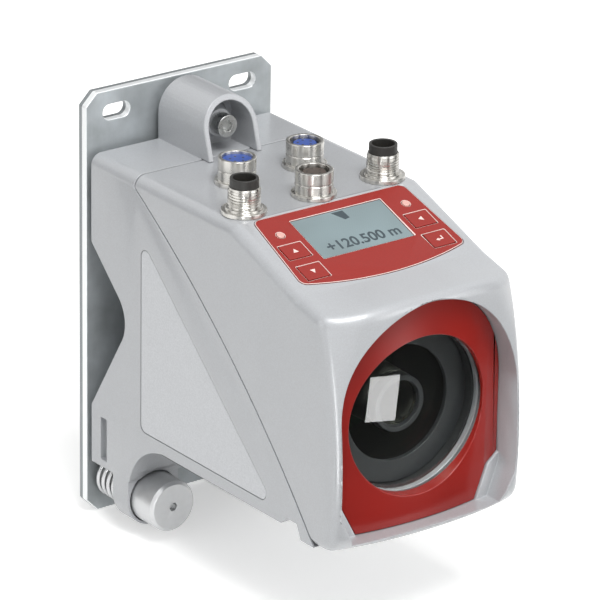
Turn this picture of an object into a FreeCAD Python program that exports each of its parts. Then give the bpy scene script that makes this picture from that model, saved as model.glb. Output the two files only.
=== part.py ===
import FreeCAD, Part
import math
import os
import re
import Sketcher
from FreeCAD import Placement, Rotation, Vector

# Optical distance sensor on its adjustable wall plate.
# X runs across, -Y points to the front, where the light leaves, and +Y to the wall. Z is up.
# Depths are measured forwards from the wall and heights upwards from the plate's lower edge.
# At the end every piece is lowered by half the plate, so the origin is the middle of the wall face.

SIZES = [
    ("plate_width", 84.0, "wall plate, across"),
    ("plate_height", 166.5, "wall plate, upwards"),
    ("plate_thickness", 5.0, "wall plate, sheet thickness"),
    ("plate_corner", 4.8, "cut corners of the wall plate"),
    ("slot_length", 12.0, "fixing slots, end to end"),
    ("slot_width", 6.0, "fixing slots, for M5 screws"),
    ("slot_inset", 13.5, "upper slots inside the plate's side"),
    ("upper_slot_spacing", "plate_width - 2 * slot_inset", "upper pair of slots, centre to centre"),
    ("slot_drop", 8.5, "upper slots below the plate's top"),
    ("upper_slot_height", "plate_height - slot_drop", "upper pair of slots above the lower edge"),
    ("lower_slot_spacing", 22.0, "lower pair of slots, centre to centre"),
    ("lower_slot_height", 8.0, "lower pair of slots above the lower edge"),
    ("wall_gap", 3.0, "air between the plate and the housing, for the tilt"),
    ("housing_width", "plate_width", "both housing shells, across"),
    ("housing_top", 144.7, "flat top of the housing"),
    ("housing_underside", 41.0, "underside of the housing"),
    ("wall", 3.0, "wall of the cast shells"),
    ("edge_radius", 4.5, "rounding of the long top edges"),
    ("foot_underside", 22.3, "underside of the rear foot"),
    ("scallop_top", 110.5, "upper end of the hollow in the rear face"),
    ("scallop_bottom", 45.5, "lower end of the hollow in the rear face"),
    ("scallop_reach", 29.7, "depth of the deepest point of that hollow"),
    ("scallop_nose", 13.0, "radius of the hollow's nose"),
    ("side_slot_width", 3.9, "upright slot in each side of the foot"),
    ("side_slot_depth", 2.5, "depth of that slot"),
    ("side_slot_height", 17.0, "height of that slot"),
    ("parting_depth", 36.0, "parting line on the top face"),
    ("parting_gap", 0.6, "joint between the two shells"),
    ("parting_bulge", 6.4, "rise of the parting line above its chord"),
    ("chin_length", 12.4, "underside in front of the parting line"),
    ("parting_foot", "front_depth - chin_length", "parting line at the underside"),
    ("gasket_inset", 0.7, "the seal stays below the painted faces by this"),
    ("chin_underside", 38.5, "underside of the front, below the window"),
    ("drip_length", 11.7, "drip groove behind the chin, along the depth"),
    ("drip_back", "drip_front - drip_length", "rear edge of the drip groove behind the chin"),
    ("drip_setback", 8.3, "drip groove behind the parting line"),
    ("drip_front", "parting_foot - drip_setback", "front edge of the drip groove"),
    ("drip_height", 44.0, "roof of the drip groove"),
    ("crown_length", 63.9, "keypad face and visor together, along the depth"),
    ("crease_depth", "front_depth - crown_length", "where the sloping keypad face begins"),
    ("keypad_tilt", 20.0, "slope of the keypad face in degrees"),
    ("front_depth", 159.4, "front face at its two sides"),
    ("front_bulge", 1.0, "how much further the middle of the front comes out"),
    ("front_belly", 66.0, "height of the front face's foremost line"),
    ("front_radius", 160.0, "radius of the front face at its sides, seen from the side"),
    ("front_radius_middle", 1000.0, "the same in the middle, where it is almost upright"),
    ("brow_radius", 7.0, "rounding between visor and front at the sides"),
    ("brow_radius_middle", 4.5, "the same in the middle"),
    ("visor_start", 42.6, "the visor begins this far below the crease"),
    ("visor_tilt", 4.0, "slope of the visor in the middle, in degrees"),
    ("chin_radius", 10.0, "rounding between front and underside at the sides"),
    ("chin_radius_middle", 4.5, "the same in the middle"),
    ("recess_side", 2.8, "hood beside the recess"),
    ("recess_radius", "housing_width / 2 - recess_side", "arch of the window recess"),
    ("recess_lift", 5.6, "centre of the arch above the optical axis"),
    ("recess_centre", "window_centre + recess_lift", "centre of that arch"),
    ("recess_notch", 56.5, "height of the two notches in the recess"),
    ("notch_step", 6.2, "step of the two notches"),
    ("recess_notch_width", "recess_radius - notch_step", "half width below the notches"),
    ("foot_step", 6.0, "narrowing from the notches to the foot"),
    ("recess_foot_width", "recess_notch_width - foot_step", "half width at the lower edge"),
    ("recess_foot", 41.2, "lower edge of the recess"),
    ("rim_narrowing", 53.0, "height at which the recess narrows at its rim"),
    ("pad_rise", 0.8, "corner pads stand before the bezel by this"),
    ("recess_depth", 13.9, "floor of the recess behind the front face"),
    ("recess_floor", "front_depth - recess_depth", "depth of the recess floor"),
    ("floor_thickness", 3.0, "floor of the recess around the glass"),
    ("recess_wall", 2.5, "wall around the recess"),
    ("bezel_thickness", 8.0, "bezel in the middle"),
    ("bezel_front", "recess_floor + bezel_thickness", "middle of the bezel's curved face"),
    ("bezel_bulge", 5.6, "how much the bezel's sides lie further back"),
    ("window_foot", 47.2, "lowest point of the lens barrel"),
    ("window_centre", "window_foot + barrel_flange", "optical axis"),
    ("window_base", 13.2, "clear opening beyond a fifth of the width"),
    ("window_radius", "window_base + housing_width / 5", "clear opening in the bezel"),
    ("glass_seat", 1.6, "glass wider than the opening"),
    ("glass_radius", "window_radius + glass_seat", "front glass"),
    ("glass_thickness", 3.0, "front glass"),
    ("seat_gap", 0.2, "clearance of fixed pieces in their seats"),
    ("barrel_step", 0.6, "bore narrower than the opening"),
    ("barrel_inner", "window_radius - barrel_step", "bore of the lens barrel"),
    ("barrel_wall", 2.0, "wall of the lens barrel"),
    ("barrel_outer", "barrel_inner + barrel_wall", "outside of the lens barrel"),
    ("barrel_lip", 3.1, "flange beyond the barrel"),
    ("barrel_flange", "barrel_outer + barrel_lip", "flange of the lens barrel"),
    ("barrel_length", 40.0, "lens barrel"),
    ("receiver_edge", 3.0, "receiver lens at its edge"),
    ("lens_ring_width", 8.4, "retaining ring in the bore"),
    ("lens_ring_inner", "barrel_inner - lens_ring_width", "retaining ring of the receiver lens, inside"),
    ("lens_ring_height", 2.0, "retaining ring of the receiver lens"),
    ("receiver_setback", 12.0, "receiver lens behind the glass"),
    ("sender_outer", 10.4, "sender tube, outside"),
    ("sender_inner", 8.4, "sender tube, bore"),
    ("sender_setback", 6.0, "front of the sender tube behind the glass"),
    ("sender_recess", 1.5, "sender lens behind the rim of its tube"),
    ("laser_length", 12.0, "laser module"),
    ("foil_thickness", 1.0, "keypad foil on its carrier"),
    ("foil_margin", 8.6, "hood beside the foil"),
    ("foil_top_width", "housing_width / 2 - foil_margin", "half width of the foil at its upper edge"),
    ("foil_flare", 3.0, "foil wider at its lower corners"),
    ("foil_foot_width", "foil_top_width + foil_flare", "half width of the foil at its lower corners"),
    ("foil_start", 1.0, "upper edge of the foil below the crease"),
    ("foil_corner", 36.6, "lower corners of the foil below the crease"),
    ("foil_end", 41.8, "lowest point of the foil below the crease"),
    ("foil_round", 3.0, "rounded corners of the foil"),
    ("display_gap", 3.2, "foil between keys and display"),
    ("display_width", "2 * (key_offset - display_gap) - key_width", "visible display, across"),
    ("display_height", 21.6, "visible display, along the slope"),
    ("display_start", 5.6, "upper edge of the display below the crease"),
    ("display_lip", 2.0, "pane overlaps the opening under it by this"),
    ("pane_thickness", 0.8, "display pane"),
    ("module_thickness", 2.6, "display module"),
    ("key_width", 9.6, "keys, across"),
    ("key_height", 7.6, "keys, along the slope"),
    ("key_inset", 5.4, "keys' middle inside the foil's edge"),
    ("key_offset", "foil_top_width - key_inset", "keys beside the middle"),
    ("key_upper", 20.2, "upper keys below the crease"),
    ("key_lower", 32.0, "lower keys below the crease"),
    ("key_travel", 0.4, "stroke of a key"),
    ("key_rise", 0.15, "keys stand above the foil by this"),
    ("key_gap", 0.25, "play around a key"),
    ("key_round", 0.8, "rounded corners of a key"),
    ("lamp_radius", 1.5, "status lamps"),
    ("lamp_drop", 11.0, "status lamps below the crease"),
    ("lamp_rise", 0.3, "status lamps stand above the foil by this"),
    ("row_shift", 2.25, "back row nearer to the tower than halfway"),
    ("connector_back_depth", "(connector_front_depth + tower_base) / 2 - row_shift",
     "back row of connectors"),
    ("connector_back_offset", 15.2, "back row beside the middle"),
    ("connector_setback", 7.5, "front row behind the keypad face"),
    ("connector_front_depth", "crease_depth - connector_setback", "front row of connectors"),
    ("connector_inset", 11.0, "outer connectors inside the housing's side"),
    ("connector_front_offset", "housing_width / 2 - connector_inset", "outer connectors of the front row"),
    ("connector_flange", 8.3, "connector flange radius"),
    ("connector_flange_height", 1.6, "connector flange"),
    ("connector_shank", 7.0, "connector shank through the housing"),
    ("connector_shank_length", 4.0, "connector shank, from the flange down"),
    ("socket_outer", 7.0, "socket ring, outside"),
    ("socket_inner", 5.6, "socket ring, thread core"),
    ("socket_height", 10.0, "socket ring above the housing"),
    ("plug_outer", 6.0, "plug thread, outside"),
    ("plug_inner", 5.3, "plug thread tube, inside"),
    ("plug_height", 10.0, "plug thread above the housing"),
    ("collar_rise", 3.4, "black collar above the plug thread"),
    ("cup_inner", 4.2, "cup inside a plug"),
    ("cup_floor", 3.5, "floor of the cup above the housing"),
    ("contact_radius", 0.5, "contact pins"),
    ("contact_circle", 2.6, "contact pins about the axis"),
    ("contact_length", 6.0, "contact pins above the cup floor"),
    ("insert_radius", 4.3, "contact block in a socket"),
    ("block_drop", 1.0, "contact block below the rim of its socket"),
    ("tower_radius", 12.0, "screw tower, outside"),
    ("tower_wall", 2.2, "rim around the tower's recess"),
    ("tower_centre", 155.0, "axis of the tower and its screw"),
    ("tower_base", 40.5, "front of the tower at its base"),
    ("tower_peak", 33.8, "front of the tower at its crown"),
    ("tower_recess", 24.0, "floor of the tower's recess"),
    ("boss_radius", 7.4, "cone under the screw head, at its foot"),
    ("boss_top_radius", 5.2, "cone under the screw head, at its seat"),
    ("boss_height", 6.0, "cone under the screw head"),
    ("ear_offset", "housing_width / 2 - ear_radius", "lower fixing points beside the middle"),
    ("ear_height", 14.0, "lower fixing points above the lower edge"),
    ("ear_radius", 11.5, "outside of the ears"),
    ("ear_back", 22.0, "back face of the ears"),
    ("ear_front", 32.0, "front face of the ears"),
    ("arch_radius", 24.0, "arch in the side wall above the ears"),
    ("nut_radius", 10.0, "clamping nut, outside"),
    ("nut_front", 45.0, "front face of the clamping nut"),
    ("nut_chamfer", 1.2, "chamfer of the clamping nut"),
    ("nut_clearance", 0.4, "air around the clamping nut"),
    ("ear_floor", 4.0, "wall between an ear's counterbore and its back"),
    ("stud_radius", 4.0, "pivot stud"),
    ("stud_flange", 6.2, "flange of the pivot stud"),
    ("stud_flange_height", 1.5, "flange of the pivot stud"),
    ("stud_reach", 39.0, "front end of the pivot stud"),
    ("ball_washer_height", 2.0, "ball washer between ear and nut"),
    ("ball_washer_radius", 9.0, "ball washer, outside"),
    ("spring_radius", 8.9, "outer radius of the lower springs"),
    ("spring_wire", 0.85, "wire radius of the lower springs"),
    ("top_spring_radius", 6.0, "outer radius of the top spring"),
    ("top_spring_wire", 0.6, "wire radius of the top spring"),
    ("spring_pocket", 6.6, "pocket for the top spring"),
    ("spring_clearance", 1.15, "air beside the lower springs, in the foot"),
    ("spring_play", 0.3, "air between the pivot pieces, and before the pivot spring's ear"),
    ("alignment_play", 1.1, "air before the other spring's ear, for the swivel"),
    ("top_spring_play", 2.8, "air before the top spring's seat, for the tilt"),
    ("screw_radius", 2.5, "M5 screws"),
    ("screw_head_radius", 4.25, "M5 socket heads"),
    ("screw_head_height", 5.0, "M5 socket heads"),
    ("screw_hole", 3.3, "clearance holes for the M5 screws"),
    ("screw_tip", 2.6, "screw tips end this far from the wall"),
    ("hex_key", 4.0, "hexagon sockets of the M5 screws, across flats"),
    ("nut_key", 3.0, "hexagon socket of the clamping nut, across flats"),
    ("hex_depth", 2.6, "depth of the hexagon sockets"),
    ("label_thickness", 0.4, "name plate on the left side, left bare"),
    ("label_margin", 11.0, "name plate behind the parting line"),
    ("label_rear", 40.0, "rear edge of the name plate"),
    ("label_foot", 46.0, "lower edge of the name plate"),
    ("label_round", 3.0, "rounded corners of the name plate"),
    ("board_thickness", 1.6, "circuit boards"),
    ("board_gap", 0.2, "boards stand off their seats by this"),
    ("main_board_height", 72.0, "main board, upwards"),
    ("main_board_depth", 47.0, "front face of the main board"),
    ("main_board_foot", 50.0, "lower edge of the main board"),
]

doc = FreeCAD.newDocument("DistanceSensor")
sheet = doc.addObject("Spreadsheet::Sheet", "Sizes")
for row, (alias, value, meaning) in enumerate(SIZES, 1):
    sheet.set("A%d" % row, meaning)
    sheet.setAlias("B%d" % row, alias)
for row, (alias, value, meaning) in enumerate(SIZES, 1):
    sheet.set("B%d" % row, "=" + value if isinstance(value, str) else str(value))
doc.recompute()
ALIASES = {alias for alias, value, meaning in SIZES}


def bind(formula):
    """A formula in the sheet's words, as FreeCAD wants it."""
    return re.sub(r"[a-z_]+", lambda m: "Sizes." + m.group() if m.group() in ALIASES else m.group(), formula)


def amount(formula):
    """The present value of a formula in the sheet's words."""
    return float(sheet.evalExpression(bind(formula)))


def at(x, depth, height):
    """A point, from its place across, its depth in front of the wall and its height."""
    return Vector(x, -depth, height)


pieces = []


def keep(item, name):
    """Names a finished piece and puts it on the list."""
    item.Label = name
    pieces.append(item)
    return item


def origin_plane(body, role):
    return next(item for item in body.Origin.OriginFeatures if item.Role == role)


def sketch_on(body, role, name, points=(), lift="0"):
    """A closed outline of straight lines, every corner tied to the sheet by two formulas."""
    sketch = body.newObject("Sketcher::SketchObject", name)
    sketch.AttachmentSupport = [(origin_plane(body, role), "")]
    sketch.MapMode = "FlatFace"
    sketch.setExpression("AttachmentOffset.Base.z", bind(lift))
    corners = [Vector(amount(across), amount(up), 0) for across, up in points]
    for start, end in zip(corners, corners[1:] + corners[:1]):
        sketch.addGeometry(Part.LineSegment(start, end), False)
    for index in range(len(points)):
        following = (index + 1) % len(points)
        sketch.addConstraint(Sketcher.Constraint("Coincident", index, 2, following, 1))
    for index, (formulas, corner) in enumerate(zip(points, corners)):
        tie(sketch, index, 1, formulas, corner)
    return sketch


def tie(sketch, item, spot, formulas, place_now):
    """Ties one point of a sketch to two formulas, its distances from the origin."""
    for kind, formula, value in zip(("DistanceX", "DistanceY"), formulas, place_now):
        number = sketch.addConstraint(Sketcher.Constraint(kind, -1, 1, item, spot, value))
        sketch.setExpression("Constraints[%d]" % number, bind(formula))


def tied_radius(sketch, item, formula):
    number = sketch.addConstraint(Sketcher.Constraint("Radius", item, amount(formula)))
    sketch.setExpression("Constraints[%d]" % number, bind(formula))


def circle_in(sketch, across, up, radius):
    """A circle whose centre and radius follow the sheet."""
    centre = Vector(amount(across), amount(up), 0)
    item = sketch.addGeometry(Part.Circle(centre, Vector(0, 0, 1), amount(radius)), False)
    tie(sketch, item, 3, (across, up), centre)
    tied_radius(sketch, item, radius)


def slot_in(sketch, across, up, length, width):
    """A slot with round ends that lies across, its two centres and radius tied to the sheet."""
    ends = ["%s + (%s - %s) / 2" % (across, length, width), "%s - (%s - %s) / 2" % (across, length, width)]
    radius = amount(width) / 2
    arcs = []
    for end, first, last in ((ends[0], -90, 90), (ends[1], 90, 270)):
        round_end = Part.Circle(Vector(amount(end), amount(up), 0), Vector(0, 0, 1), radius)
        arc = Part.ArcOfCircle(round_end, math.radians(first), math.radians(last))
        arcs.append(sketch.addGeometry(arc, False))
    right, left = amount(ends[0]), amount(ends[1])
    top, bottom = amount(up) + radius, amount(up) - radius
    upper = sketch.addGeometry(Part.LineSegment(Vector(right, top, 0), Vector(left, top, 0)), False)
    lower = sketch.addGeometry(Part.LineSegment(Vector(left, bottom, 0), Vector(right, bottom, 0)), False)
    for first, first_end, second, second_end in ((arcs[0], 2, upper, 1), (upper, 2, arcs[1], 1),
                                                 (arcs[1], 2, lower, 1), (lower, 2, arcs[0], 1)):
        sketch.addConstraint(Sketcher.Constraint("Tangent", first, first_end, second, second_end))
    sketch.addConstraint(Sketcher.Constraint("Equal", arcs[0], arcs[1]))
    sketch.addConstraint(Sketcher.Constraint("Horizontal", upper))
    tied_radius(sketch, arcs[0], "%s / 2" % width)
    tie(sketch, arcs[0], 3, (ends[0], up), (right, amount(up)))
    number = sketch.addConstraint(Sketcher.Constraint("DistanceX", -1, 1, arcs[1], 3, left))
    sketch.setExpression("Constraints[%d]" % number, bind(ends[1]))


def place(item, across="0", depth="0", height="0", turn=None):
    """Ties a piece's place to the sheet."""
    if turn:
        item.Placement = Placement(Vector(), turn)
    item.setExpression("Placement.Base.x", bind(across))
    item.setExpression("Placement.Base.y", bind("-(%s)" % depth))
    item.setExpression("Placement.Base.z", bind("%s - plate_height / 2" % height))


FORWARD = Rotation(Vector(1, 0, 0), 90)


def turned(name, profile, across="0", depth="0", height="0", forward=True):
    """A turned piece. Its profile lists radius and distance along the axis.

    The axis points to the front, or upwards.
    """
    body = doc.addObject("PartDesign::Body", name)
    outline = sketch_on(body, "XZ_Plane", name + "_profile", profile)
    turning = body.newObject("PartDesign::Revolution", name + "_turning")
    turning.Profile = outline
    turning.ReferenceAxis = (outline, ["V_Axis"])
    turning.Angle = 360
    body.Tip = turning
    place(body, across, depth, height, FORWARD if forward else None)
    return keep(body, name)


def hexagon_socket(body, top, key):
    """A hexagon socket for a key in the end of a turned piece, along its axis."""
    corners = [("%s / sqrt(3) * cos(%d deg)" % (key, angle), "%s / sqrt(3) * sin(%d deg)" % (key, angle))
               for angle in range(0, 360, 60)]
    doc.recompute()
    outline = sketch_on(body, "XY_Plane", body.Name + "_hexagon", corners, lift=top)
    socket = body.newObject("PartDesign::Pocket", body.Name + "_socket")
    socket.Profile = outline
    socket.setExpression("Length", bind("hex_depth"))
    body.Tip = socket


def feature(name, shape):
    """A piece whose shape is worked out below from the sheet's values."""
    item = doc.addObject("Part::Feature", name)
    item.Shape = shape
    place(item)
    return keep(item, name)


def box(name, width, deep, tall, across="0", depth="0", height="0"):
    """A block, centred across, whose front face is at the given depth."""
    item = doc.addObject("Part::Box", name)
    for side, formula in (("Length", width), ("Width", deep), ("Height", tall)):
        item.setExpression(side, bind(formula))
    place(item, "%s - (%s) / 2" % (across, width), depth, height)
    return keep(item, name)


def outline(x, start, steps):
    """A closed outline in a plane X = x, from points of depth and height.

    A step of one point is a straight line, a step of two is an arc through the first.
    """
    edges = []
    here = start
    for step in steps + [(start,)]:
        there = step[-1]
        if len(step) == 2:
            edges.append(Part.Arc(at(x, *here), at(x, *step[0]), at(x, *there)).toShape())
        elif math.dist(here, there) > 1e-6:
            edges.append(Part.LineSegment(at(x, *here), at(x, *there)).toShape())
        here = there
    return Part.Wire(edges)


def prism(start, steps, half_width):
    """An outline of depths and heights, drawn out across to both sides."""
    face = Part.Face(outline(-half_width, start, steps))
    return face.extrude(Vector(2 * half_width, 0, 0))


def polar(centre, radius, angle):
    return (centre[0] + radius * math.cos(angle), centre[1] + radius * math.sin(angle))


def cylinder(radius, x, height, back, front):
    """A round bar along the depth."""
    return Part.makeCylinder(radius, front - back, at(x, back, height), Vector(0, -1, 0))


FAR = 60.0
OVERLAP = 1.0
width = amount("housing_width")
half = width / 2
top = amount("housing_top")
rear = amount("plate_thickness + wall_gap")
wall = amount("wall")
tilt = math.radians(amount("keypad_tilt"))


def parting_region(shift):
    """Everything in front of the curved parting face, moved forwards by shift."""
    start = (amount("parting_depth") + shift, top - amount("edge_radius"))
    end = (amount("parting_foot") + shift, amount("chin_underside"))
    chord = math.dist(start, end)
    along = ((end[0] - start[0]) / chord, (end[1] - start[1]) / chord)
    rise = amount("parting_bulge")
    middle = ((start[0] + end[0]) / 2 - rise * along[1], (start[1] + end[1]) / 2 + rise * along[0])
    below = (end[0] + OVERLAP, end[1] - FAR / 10)
    front = end[0] + FAR
    return prism((start[0], top + FAR), [(start,), (middle, end), (below,), ((front, below[1]),),
                                         ((front, top + FAR),)], half + OVERLAP)


def blend(name, share):
    """A size of the hood between its value at the sides (share 0) and in the middle (share 1)."""
    return amount(name) + (amount(name + "_middle") - amount(name)) * share


def hood_section(x, inset):
    """The side view of the front hood at one place across, or its hollow's with an inset.

    From the keypad's end a visor runs out to the front. The brow arc touches the visor and the front's
    large arc, and the chin arc touches that arc and the underside.
    """
    flat = 1 - (x / half) ** 4
    round_off = 1 - (x / half) ** 2
    front = amount("front_depth") + amount("front_bulge") * flat
    big = 1 / ((1 - flat) / amount("front_radius") + flat / amount("front_radius_middle"))
    brow = blend("brow_radius", flat)
    chin = blend("chin_radius", round_off)
    visor = tilt + (math.radians(amount("visor_tilt")) - tilt) * flat
    centre = (front - big, amount("front_belly"))
    reach = amount("visor_start")
    knee = (amount("crease_depth") + reach * math.cos(tilt), top - reach * math.sin(tilt))

    begin = (knee[0] - brow * math.sin(visor), knee[1] - brow * math.cos(visor))
    gap = (begin[0] - centre[0], begin[1] - centre[1])
    lean = gap[0] * math.cos(visor) - gap[1] * math.sin(visor)
    run = -lean + math.sqrt(lean ** 2 - math.hypot(*gap) ** 2 + (big - brow) ** 2)
    brow_centre = (begin[0] + run * math.cos(visor), begin[1] - run * math.sin(visor))
    brow_angle = math.atan2(brow_centre[1] - centre[1], brow_centre[0] - centre[0])
    chin_angle = math.asin((amount("chin_underside") + chin - centre[1]) / (big - chin))
    chin_centre = polar(centre, big - chin, chin_angle)

    upright = math.pi / 2
    bend = (tilt + visor) / 2
    drop = inset / math.cos((tilt - visor) / 2)
    knee = (knee[0] - drop * math.sin(bend), knee[1] - drop * math.cos(bend))
    crease = (amount("crease_depth") - inset * math.tan(tilt / 2), top - inset)
    back_top = (rear + wall, top - inset)
    back_foot = (amount("parting_foot - chin_radius - wall_gap"), amount("chin_underside") + inset)
    brow -= inset
    chin -= inset
    big -= inset
    return outline(x, back_top, [
        (crease,), (knee,), (polar(brow_centre, brow, upright - visor),),
        (polar(brow_centre, brow, (upright - visor + brow_angle) / 2), polar(brow_centre, brow, brow_angle)),
        (polar(centre, big, (brow_angle + chin_angle) / 2), polar(centre, big, chin_angle)),
        (polar(chin_centre, chin, (chin_angle - upright) / 2), polar(chin_centre, chin, -upright)),
        (back_foot,)])


def hood_block(inset):
    """The hood as a full block, with the front curved in both directions."""
    side = half - inset
    places = [side * math.sin(math.radians(angle)) for angle in range(-90, 91, 30)]
    return Part.makeLoft([hood_section(x, inset) for x in places], True)


def side_edges(shape, wanted):
    """Edges that lie in the two side faces and pass a test of their middle's depth and height."""
    found = []
    for edge in shape.Edges:
        in_side = all(abs(abs(vertex.X) - half) < 1e-3 for vertex in edge.Vertexes)
        middle = edge.valueAt((edge.FirstParameter + edge.LastParameter) / 2)
        same_side = abs(edge.Vertexes[0].X - edge.Vertexes[-1].X) < 1e-3
        if in_side and same_side and wanted(-middle.y, middle.z):
            found.append(edge)
    return found


def recess_prism(grow, back, front, notched=True):
    """The window recess: an arch on two upright sides, narrowed to the foot.

    Its floor is notched for the two corner pads, its rim is not.
    """
    radius = amount("recess_radius") + grow
    centre = amount("recess_centre")
    shoulder = amount("recess_notch_width") + grow
    foot = amount("recess_foot") - grow
    if notched:
        notch = amount("recess_notch") - grow
        step = amount("recess_radius - recess_notch_width") / 2
        left = [(-radius, notch), (-shoulder, notch - step), (-amount("recess_foot_width") - grow, foot)]
    else:
        left = [(-radius, amount("rim_narrowing") - grow), (-shoulder, foot)]
    right = [(-x, z) for x, z in reversed(left)]
    points = [at(x, back, z) for x, z in [(-radius, centre)] + left + right + [(radius, centre)]]
    edges = [Part.LineSegment(a, b).toShape() for a, b in zip(points, points[1:])]
    edges.append(Part.Arc(points[-1], at(0, back, centre + radius), points[0]).toShape())
    return Part.Face(Part.Wire(edges)).extrude(Vector(0, back - front, 0))


def on_slope(shape, drop=0.0, rise=0.0):
    """Moves a shape, drawn flat with Y up the slope, on to the keypad face."""
    face = Placement(at(0, amount("crease_depth"), top), Rotation(Vector(1, 0, 0), math.degrees(tilt)))
    step = Placement(Vector(0, -drop, rise), Rotation())
    return shape.transformed((face * step).toMatrix(), True)


def slope_block(width_here, height_here, thick, x, drop, rise):
    """A flat block on the keypad face, centred on a place, thick downwards from rise."""
    block = Part.makeBox(width_here, height_here, thick,
                         Vector(x - width_here / 2, -height_here / 2, -thick))
    return on_slope(block, drop, rise)


def foil_outline(grow):
    """The keypad foil: straight above, curved below like the front of the hood."""
    upper = amount("foil_top_width") + grow
    lower = amount("foil_foot_width") + grow
    start = -amount("foil_start") + grow
    corner = -amount("foil_corner") - grow
    end = -amount("foil_end") - grow
    points = [Vector(lower, corner, 0), Vector(upper, start, 0), Vector(-upper, start, 0),
              Vector(-lower, corner, 0)]
    edges = [Part.LineSegment(a, b).toShape() for a, b in zip(points, points[1:])]
    edges.append(Part.Arc(points[-1], Vector(0, end, 0), points[0]).toShape())
    return Part.Face(Part.Wire(edges))


def foil_block(grow, thick):
    """The foil's outline with rounded corners and a thickness, its upper side at the slope's face."""
    block = foil_outline(grow).extrude(Vector(0, 0, thick))
    block.translate(Vector(0, 0, -amount("foil_thickness")))
    upright = [e for e in block.Edges if abs(e.Vertexes[0].Z - e.Vertexes[-1].Z) > thick / 2]
    return block.makeFillet(amount("foil_round"), upright)


KEYS = {"key_up": (-1, "key_upper"), "key_down": (-1, "key_lower"),
        "key_escape": (1, "key_upper"), "key_enter": (1, "key_lower")}
CONNECTORS = {"plug_left": ("plug", "front", -1), "socket_middle": ("socket", "front", 0),
              "plug_right": ("plug", "front", 1), "socket_back_left": ("full", "back", -1),
              "socket_back_right": ("socket", "back", 1)}


def connector_spot(row, side):
    return "%d * connector_%s_offset" % (side, row), "connector_%s_depth" % row


def bezel_drum(rise):
    """The upright drum whose surface is the bezel's curved face, raised by a distance."""
    bulge = amount("bezel_bulge")
    reach = amount("recess_radius")
    radius = (reach ** 2 + bulge ** 2) / (2 * bulge)
    foot = at(0, amount("bezel_front") - radius, amount("recess_centre") - 2 * reach)
    return Part.makeCylinder(radius + rise, 3 * reach, foot)


def front_hood():
    """The cast front hood with its window recess, keypad seat and connector holes."""
    block = hood_block(0.0)
    edges = side_edges(block, lambda depth, height: depth > amount("parting_depth") + OVERLAP
                       and height > 0 and not (height < top - OVERLAP and depth < amount("crease_depth")))
    shell = block.makeFillet(amount("edge_radius"), edges)
    body = shell.cut(hood_block(wall))
    floor = amount("recess_floor")
    back = floor - amount("floor_thickness")
    pan = recess_prism(amount("recess_wall"), back, floor + FAR, False).common(shell)
    above_pads = recess_prism(0.0, floor, floor + FAR, False).cut(bezel_drum(amount("pad_rise")))
    body = body.fuse(pan).cut(recess_prism(0.0, floor, floor + FAR)).cut(above_pads)
    body = body.cut(cylinder(amount("window_radius"), 0, amount("window_centre"), back - OVERLAP,
                             floor + OVERLAP))
    body = body.cut(on_slope(foil_block(amount("seat_gap"), amount("foil_thickness") + OVERLAP)))
    lip = 2 * amount("display_lip")
    opening = (amount("display_width") - lip, amount("display_height") - lip)
    display_middle = amount("display_start + display_height / 2")
    body = body.cut(slope_block(*opening, 2 * wall, 0, display_middle, 0))
    for side, drop in KEYS.values():
        deep = amount("foil_thickness + key_travel + key_gap")
        body = body.cut(slope_block(amount("key_width + 2 * key_gap"), amount("key_height + 2 * key_gap"),
                                    deep, side * amount("key_offset"), amount(drop), 0))
    for kind, row, side in CONNECTORS.values():
        across, depth = connector_spot(row, side)
        hole = Part.makeCylinder(amount("connector_shank + seat_gap / 2"), 3 * wall,
                                 at(amount(across), amount(depth), top - 2 * wall))
        body = body.cut(hole)
    return body.common(parting_region(0.0))


def tangent_point(outside, centre, radius, turn):
    """Where a line from a point outside touches a circle, on the side given by turn."""
    towards = math.atan2(outside[1] - centre[1], outside[0] - centre[0])
    return polar(centre, radius, towards + turn * math.acos(radius / math.dist(outside, centre)))


def rear_outline(inset):
    """The side view of the rear housing: foot, hollow back, flat top and underside."""
    nose = amount("scallop_nose")
    reach = amount("scallop_reach")
    nose_centre = (reach - nose, amount("scallop_top + scallop_bottom") / 2 + nose / 2)
    nose = nose + inset
    upper = (rear + inset, amount("scallop_top") + inset)
    lower = (rear + inset, amount("scallop_bottom") - inset)
    touch_upper = tangent_point(upper, nose_centre, nose, -1)
    touch_lower = tangent_point(lower, nose_centre, nose, 1)
    return {"upper": upper, "lower": lower, "touch_upper": touch_upper, "touch_lower": touch_lower,
            "nose": (nose_centre[0] + nose, nose_centre[1])}


def rear_block():
    """The rear housing as a full block, before it is hollowed."""
    p = rear_outline(0.0)
    arch = amount("arch_radius")
    foot = amount("foot_underside")
    underside = amount("housing_underside")
    chin = amount("chin_underside")
    arch_centre = (amount("ear_front") + arch, underside - arch)
    spring = -math.asin((foot - arch_centre[1]) / arch)
    arch_start = polar(arch_centre, arch, math.pi + spring)
    arch_mid = polar(arch_centre, arch, (math.pi + spring + math.pi / 2) / 2)
    drip_front = amount("drip_front")
    drip_back = amount("drip_back")
    drip = amount("drip_height")
    front = amount("parting_foot") + wall
    steps = [((front, top),), ((front, chin),), ((drip_front, chin),),
             ((drip_front - drip + chin + wall, drip),), ((drip_back + drip - underside, drip),),
             ((drip_back, underside),), ((arch_centre[0], underside),),
             (arch_mid, arch_start), ((rear, foot),), (p["lower"],), (p["touch_lower"],),
             (p["nose"], p["touch_upper"]), (p["upper"],)]
    return prism((rear, top), steps, half)


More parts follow.
